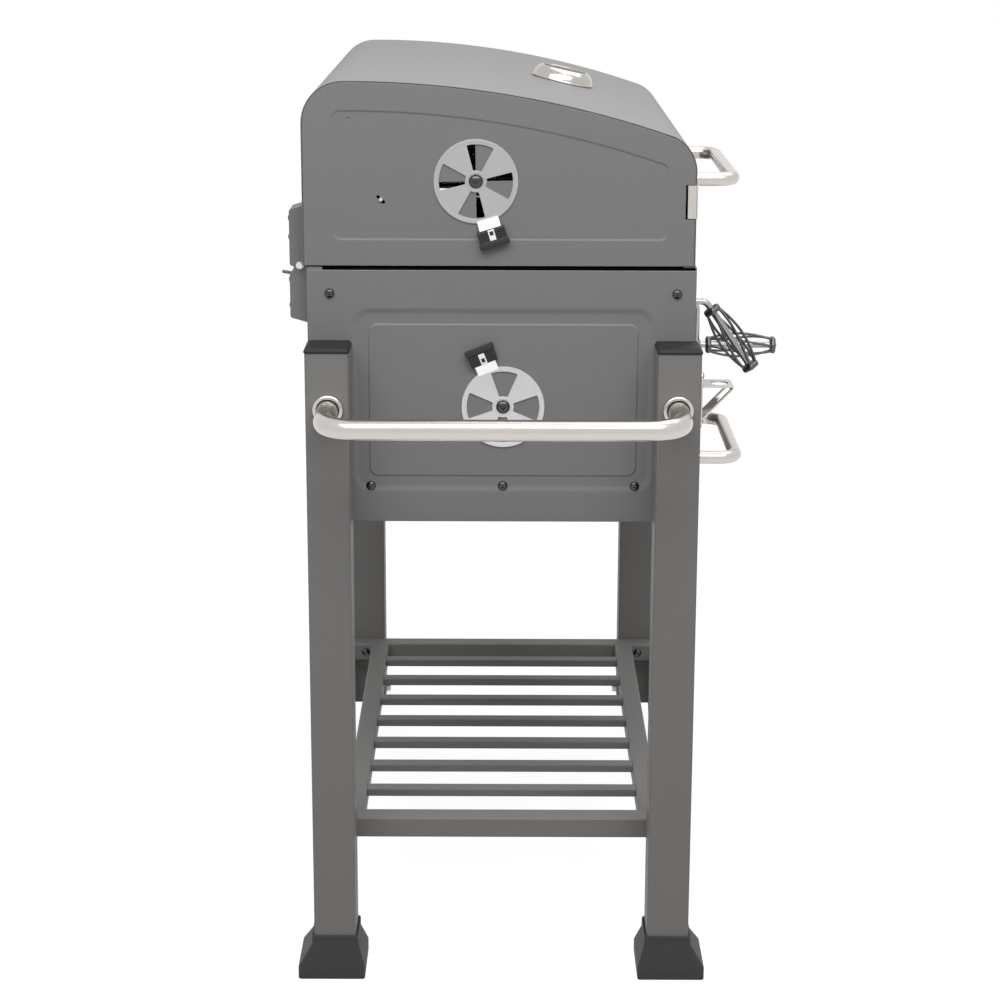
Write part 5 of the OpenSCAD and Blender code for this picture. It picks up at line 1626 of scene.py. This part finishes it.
class CART_OT_stage(CartOperator):
    """Makes the pale floor, the studio light and the camera"""
    bl_idname = "cart.stage"
    bl_label = "Stage"

    def add(self, name, data, place=Matrix()):
        thing = bpy.data.objects.new(name, data)
        thing.matrix_world = place
        bpy.context.scene.collection.objects.link(thing)
        return thing

    def floor(self):
        """A floor that takes shadows and looks white from wherever it is seen."""
        bm = bmesh.new()
        bmesh.ops.create_grid(bm, x_segments=1, y_segments=1, size=9.0)
        mesh = bpy.data.meshes.new("floor")
        bm.to_mesh(mesh)
        bm.free()
        finish = Finish("floor", Base_Color=(0.22, 0.22, 0.22, 1.0), Roughness=0.9, Specular_IOR_Level=0.0,
                        Emission_Strength=1.0)
        finish.set(Emission_Color=finish.tint((0.90, 0.90, 0.90), finish.seen()))
        mesh.materials.append(finish.material)
        self.add("floor", mesh, at(z=-0.0005))

    def world(self):
        """White where it is seen; elsewhere a soft sky that is brighter overhead."""
        world = bpy.data.worlds.new("studio")
        sky = Finish("studio", world, Strength=1.0)
        up = sky.node("SeparateXYZ", output="Z", Vector=sky.node("TexCoord", output="Generated"))
        seen = sky.seen()
        sky.set(Color=sky.tint((1.0, 1.0, 1.0), seen + (1.0 - seen) * (0.36 + 0.50 * up * up)))
        bpy.context.scene.world = world

    def lamp(self, name, location, target, size, power):
        """A rectangular area light that points at a target."""
        light = bpy.data.lights.new(name, "AREA")
        light.shape = "RECTANGLE"
        light.size, light.size_y = size
        light.energy = power
        towards = (Vector(target) - Vector(location)).to_track_quat("-Z", "Y")
        self.add(name, light, Matrix.Translation(location) @ towards.to_matrix().to_4x4())

    def camera(self):
        """Looks along +X, tilted down and rolled a little."""
        s = bpy.context.scene.cart_stage
        lens = bpy.data.cameras.new("camera")
        lens.lens = s.lens
        lens.sensor_width = 36.0
        lens.shift_y = s.shift
        place = (low("leg_front_left").x - s.camera_gap, MID_Y + s.camera_offset, s.camera_height)
        level = Matrix(((0, 0, -1), (-1, 0, 0), (0, 1, 0)))
        tilt = Matrix.Rotation(-s.camera_pitch, 3, "X") @ Matrix.Rotation(s.camera_roll, 3, "Z")
        view = Matrix.Translation(place) @ (level @ tilt).to_4x4()
        bpy.context.scene.camera = self.add("camera", lens, view)

    def execute(self, context):
        self.floor()
        self.world()
        top = high("lid_shell").z
        lamp_z = top + 1.2
        key_place, key_target = (LEFT - 1.05, MID_Y, lamp_z), (LEFT - 0.4, MID_Y, top - 0.2)
        self.lamp("key_light", key_place, key_target, (2.6, 0.9), 33.0)
        self.lamp("top_light", (MID_X + 0.3, MID_Y - 0.5, lamp_z), (MID_X, MID_Y, top), (1.4, 1.4), 9.0)
        self.camera()
        context.scene.view_settings.view_transform = "Standard"
        return {"FINISHED"}


# ---------------------------------------------------------------- panel and registration

PIECES = (
    CART_OT_side_panels, CART_OT_front_and_rear, CART_OT_floor_and_works, CART_OT_cooking_grates,
    CART_OT_legs, CART_OT_leg_caps, CART_OT_feet, CART_OT_shelf, CART_OT_push_handle, CART_OT_screws,
    CART_OT_bottle_opener, CART_OT_hinges, CART_OT_wheels, CART_OT_lid, CART_OT_pulls,
    CART_OT_thermometer, CART_OT_warming_rack, CART_OT_vents, CART_OT_crank, CART_OT_lock_lever,
    CART_OT_ash_drawer, CART_OT_side_table, CART_OT_stage,
)
GROUPS = {"cart_sizes": CartSizes, "cart_colours": CartColours, "cart_stage": CartStage}


class VIEW3D_PT_grill_cart(bpy.types.Panel):
    """Lists the cart's settings and the operators that make its pieces"""
    bl_label = "Grill Cart"
    bl_idname = "VIEW3D_PT_grill_cart"
    bl_space_type = "VIEW_3D"
    bl_region_type = "UI"
    bl_category = "Grill Cart"

    def draw(self, context):
        for operator in PIECES:
            self.layout.operator(operator.bl_idname)
        for group, kind in GROUPS.items():
            box = self.layout.box()
            for setting in kind.__annotations__:
                box.prop(getattr(context.scene, group), setting)


def register():
    for kind in (*GROUPS.values(), *PIECES, VIEW3D_PT_grill_cart):
        bpy.utils.register_class(kind)
    for group, kind in GROUPS.items():
        setattr(bpy.types.Scene, group, bpy.props.PointerProperty(type=kind))


def unregister():
    for group in GROUPS:
        delattr(bpy.types.Scene, group)
    for kind in (VIEW3D_PT_grill_cart, *reversed(PIECES), *GROUPS.values()):
        bpy.utils.unregister_class(kind)


def main():
    register()
    for operator in PIECES:
        family, name = operator.bl_idname.split(".")
        getattr(getattr(bpy.ops, family), name)()


if __name__ == "__main__":
    main()
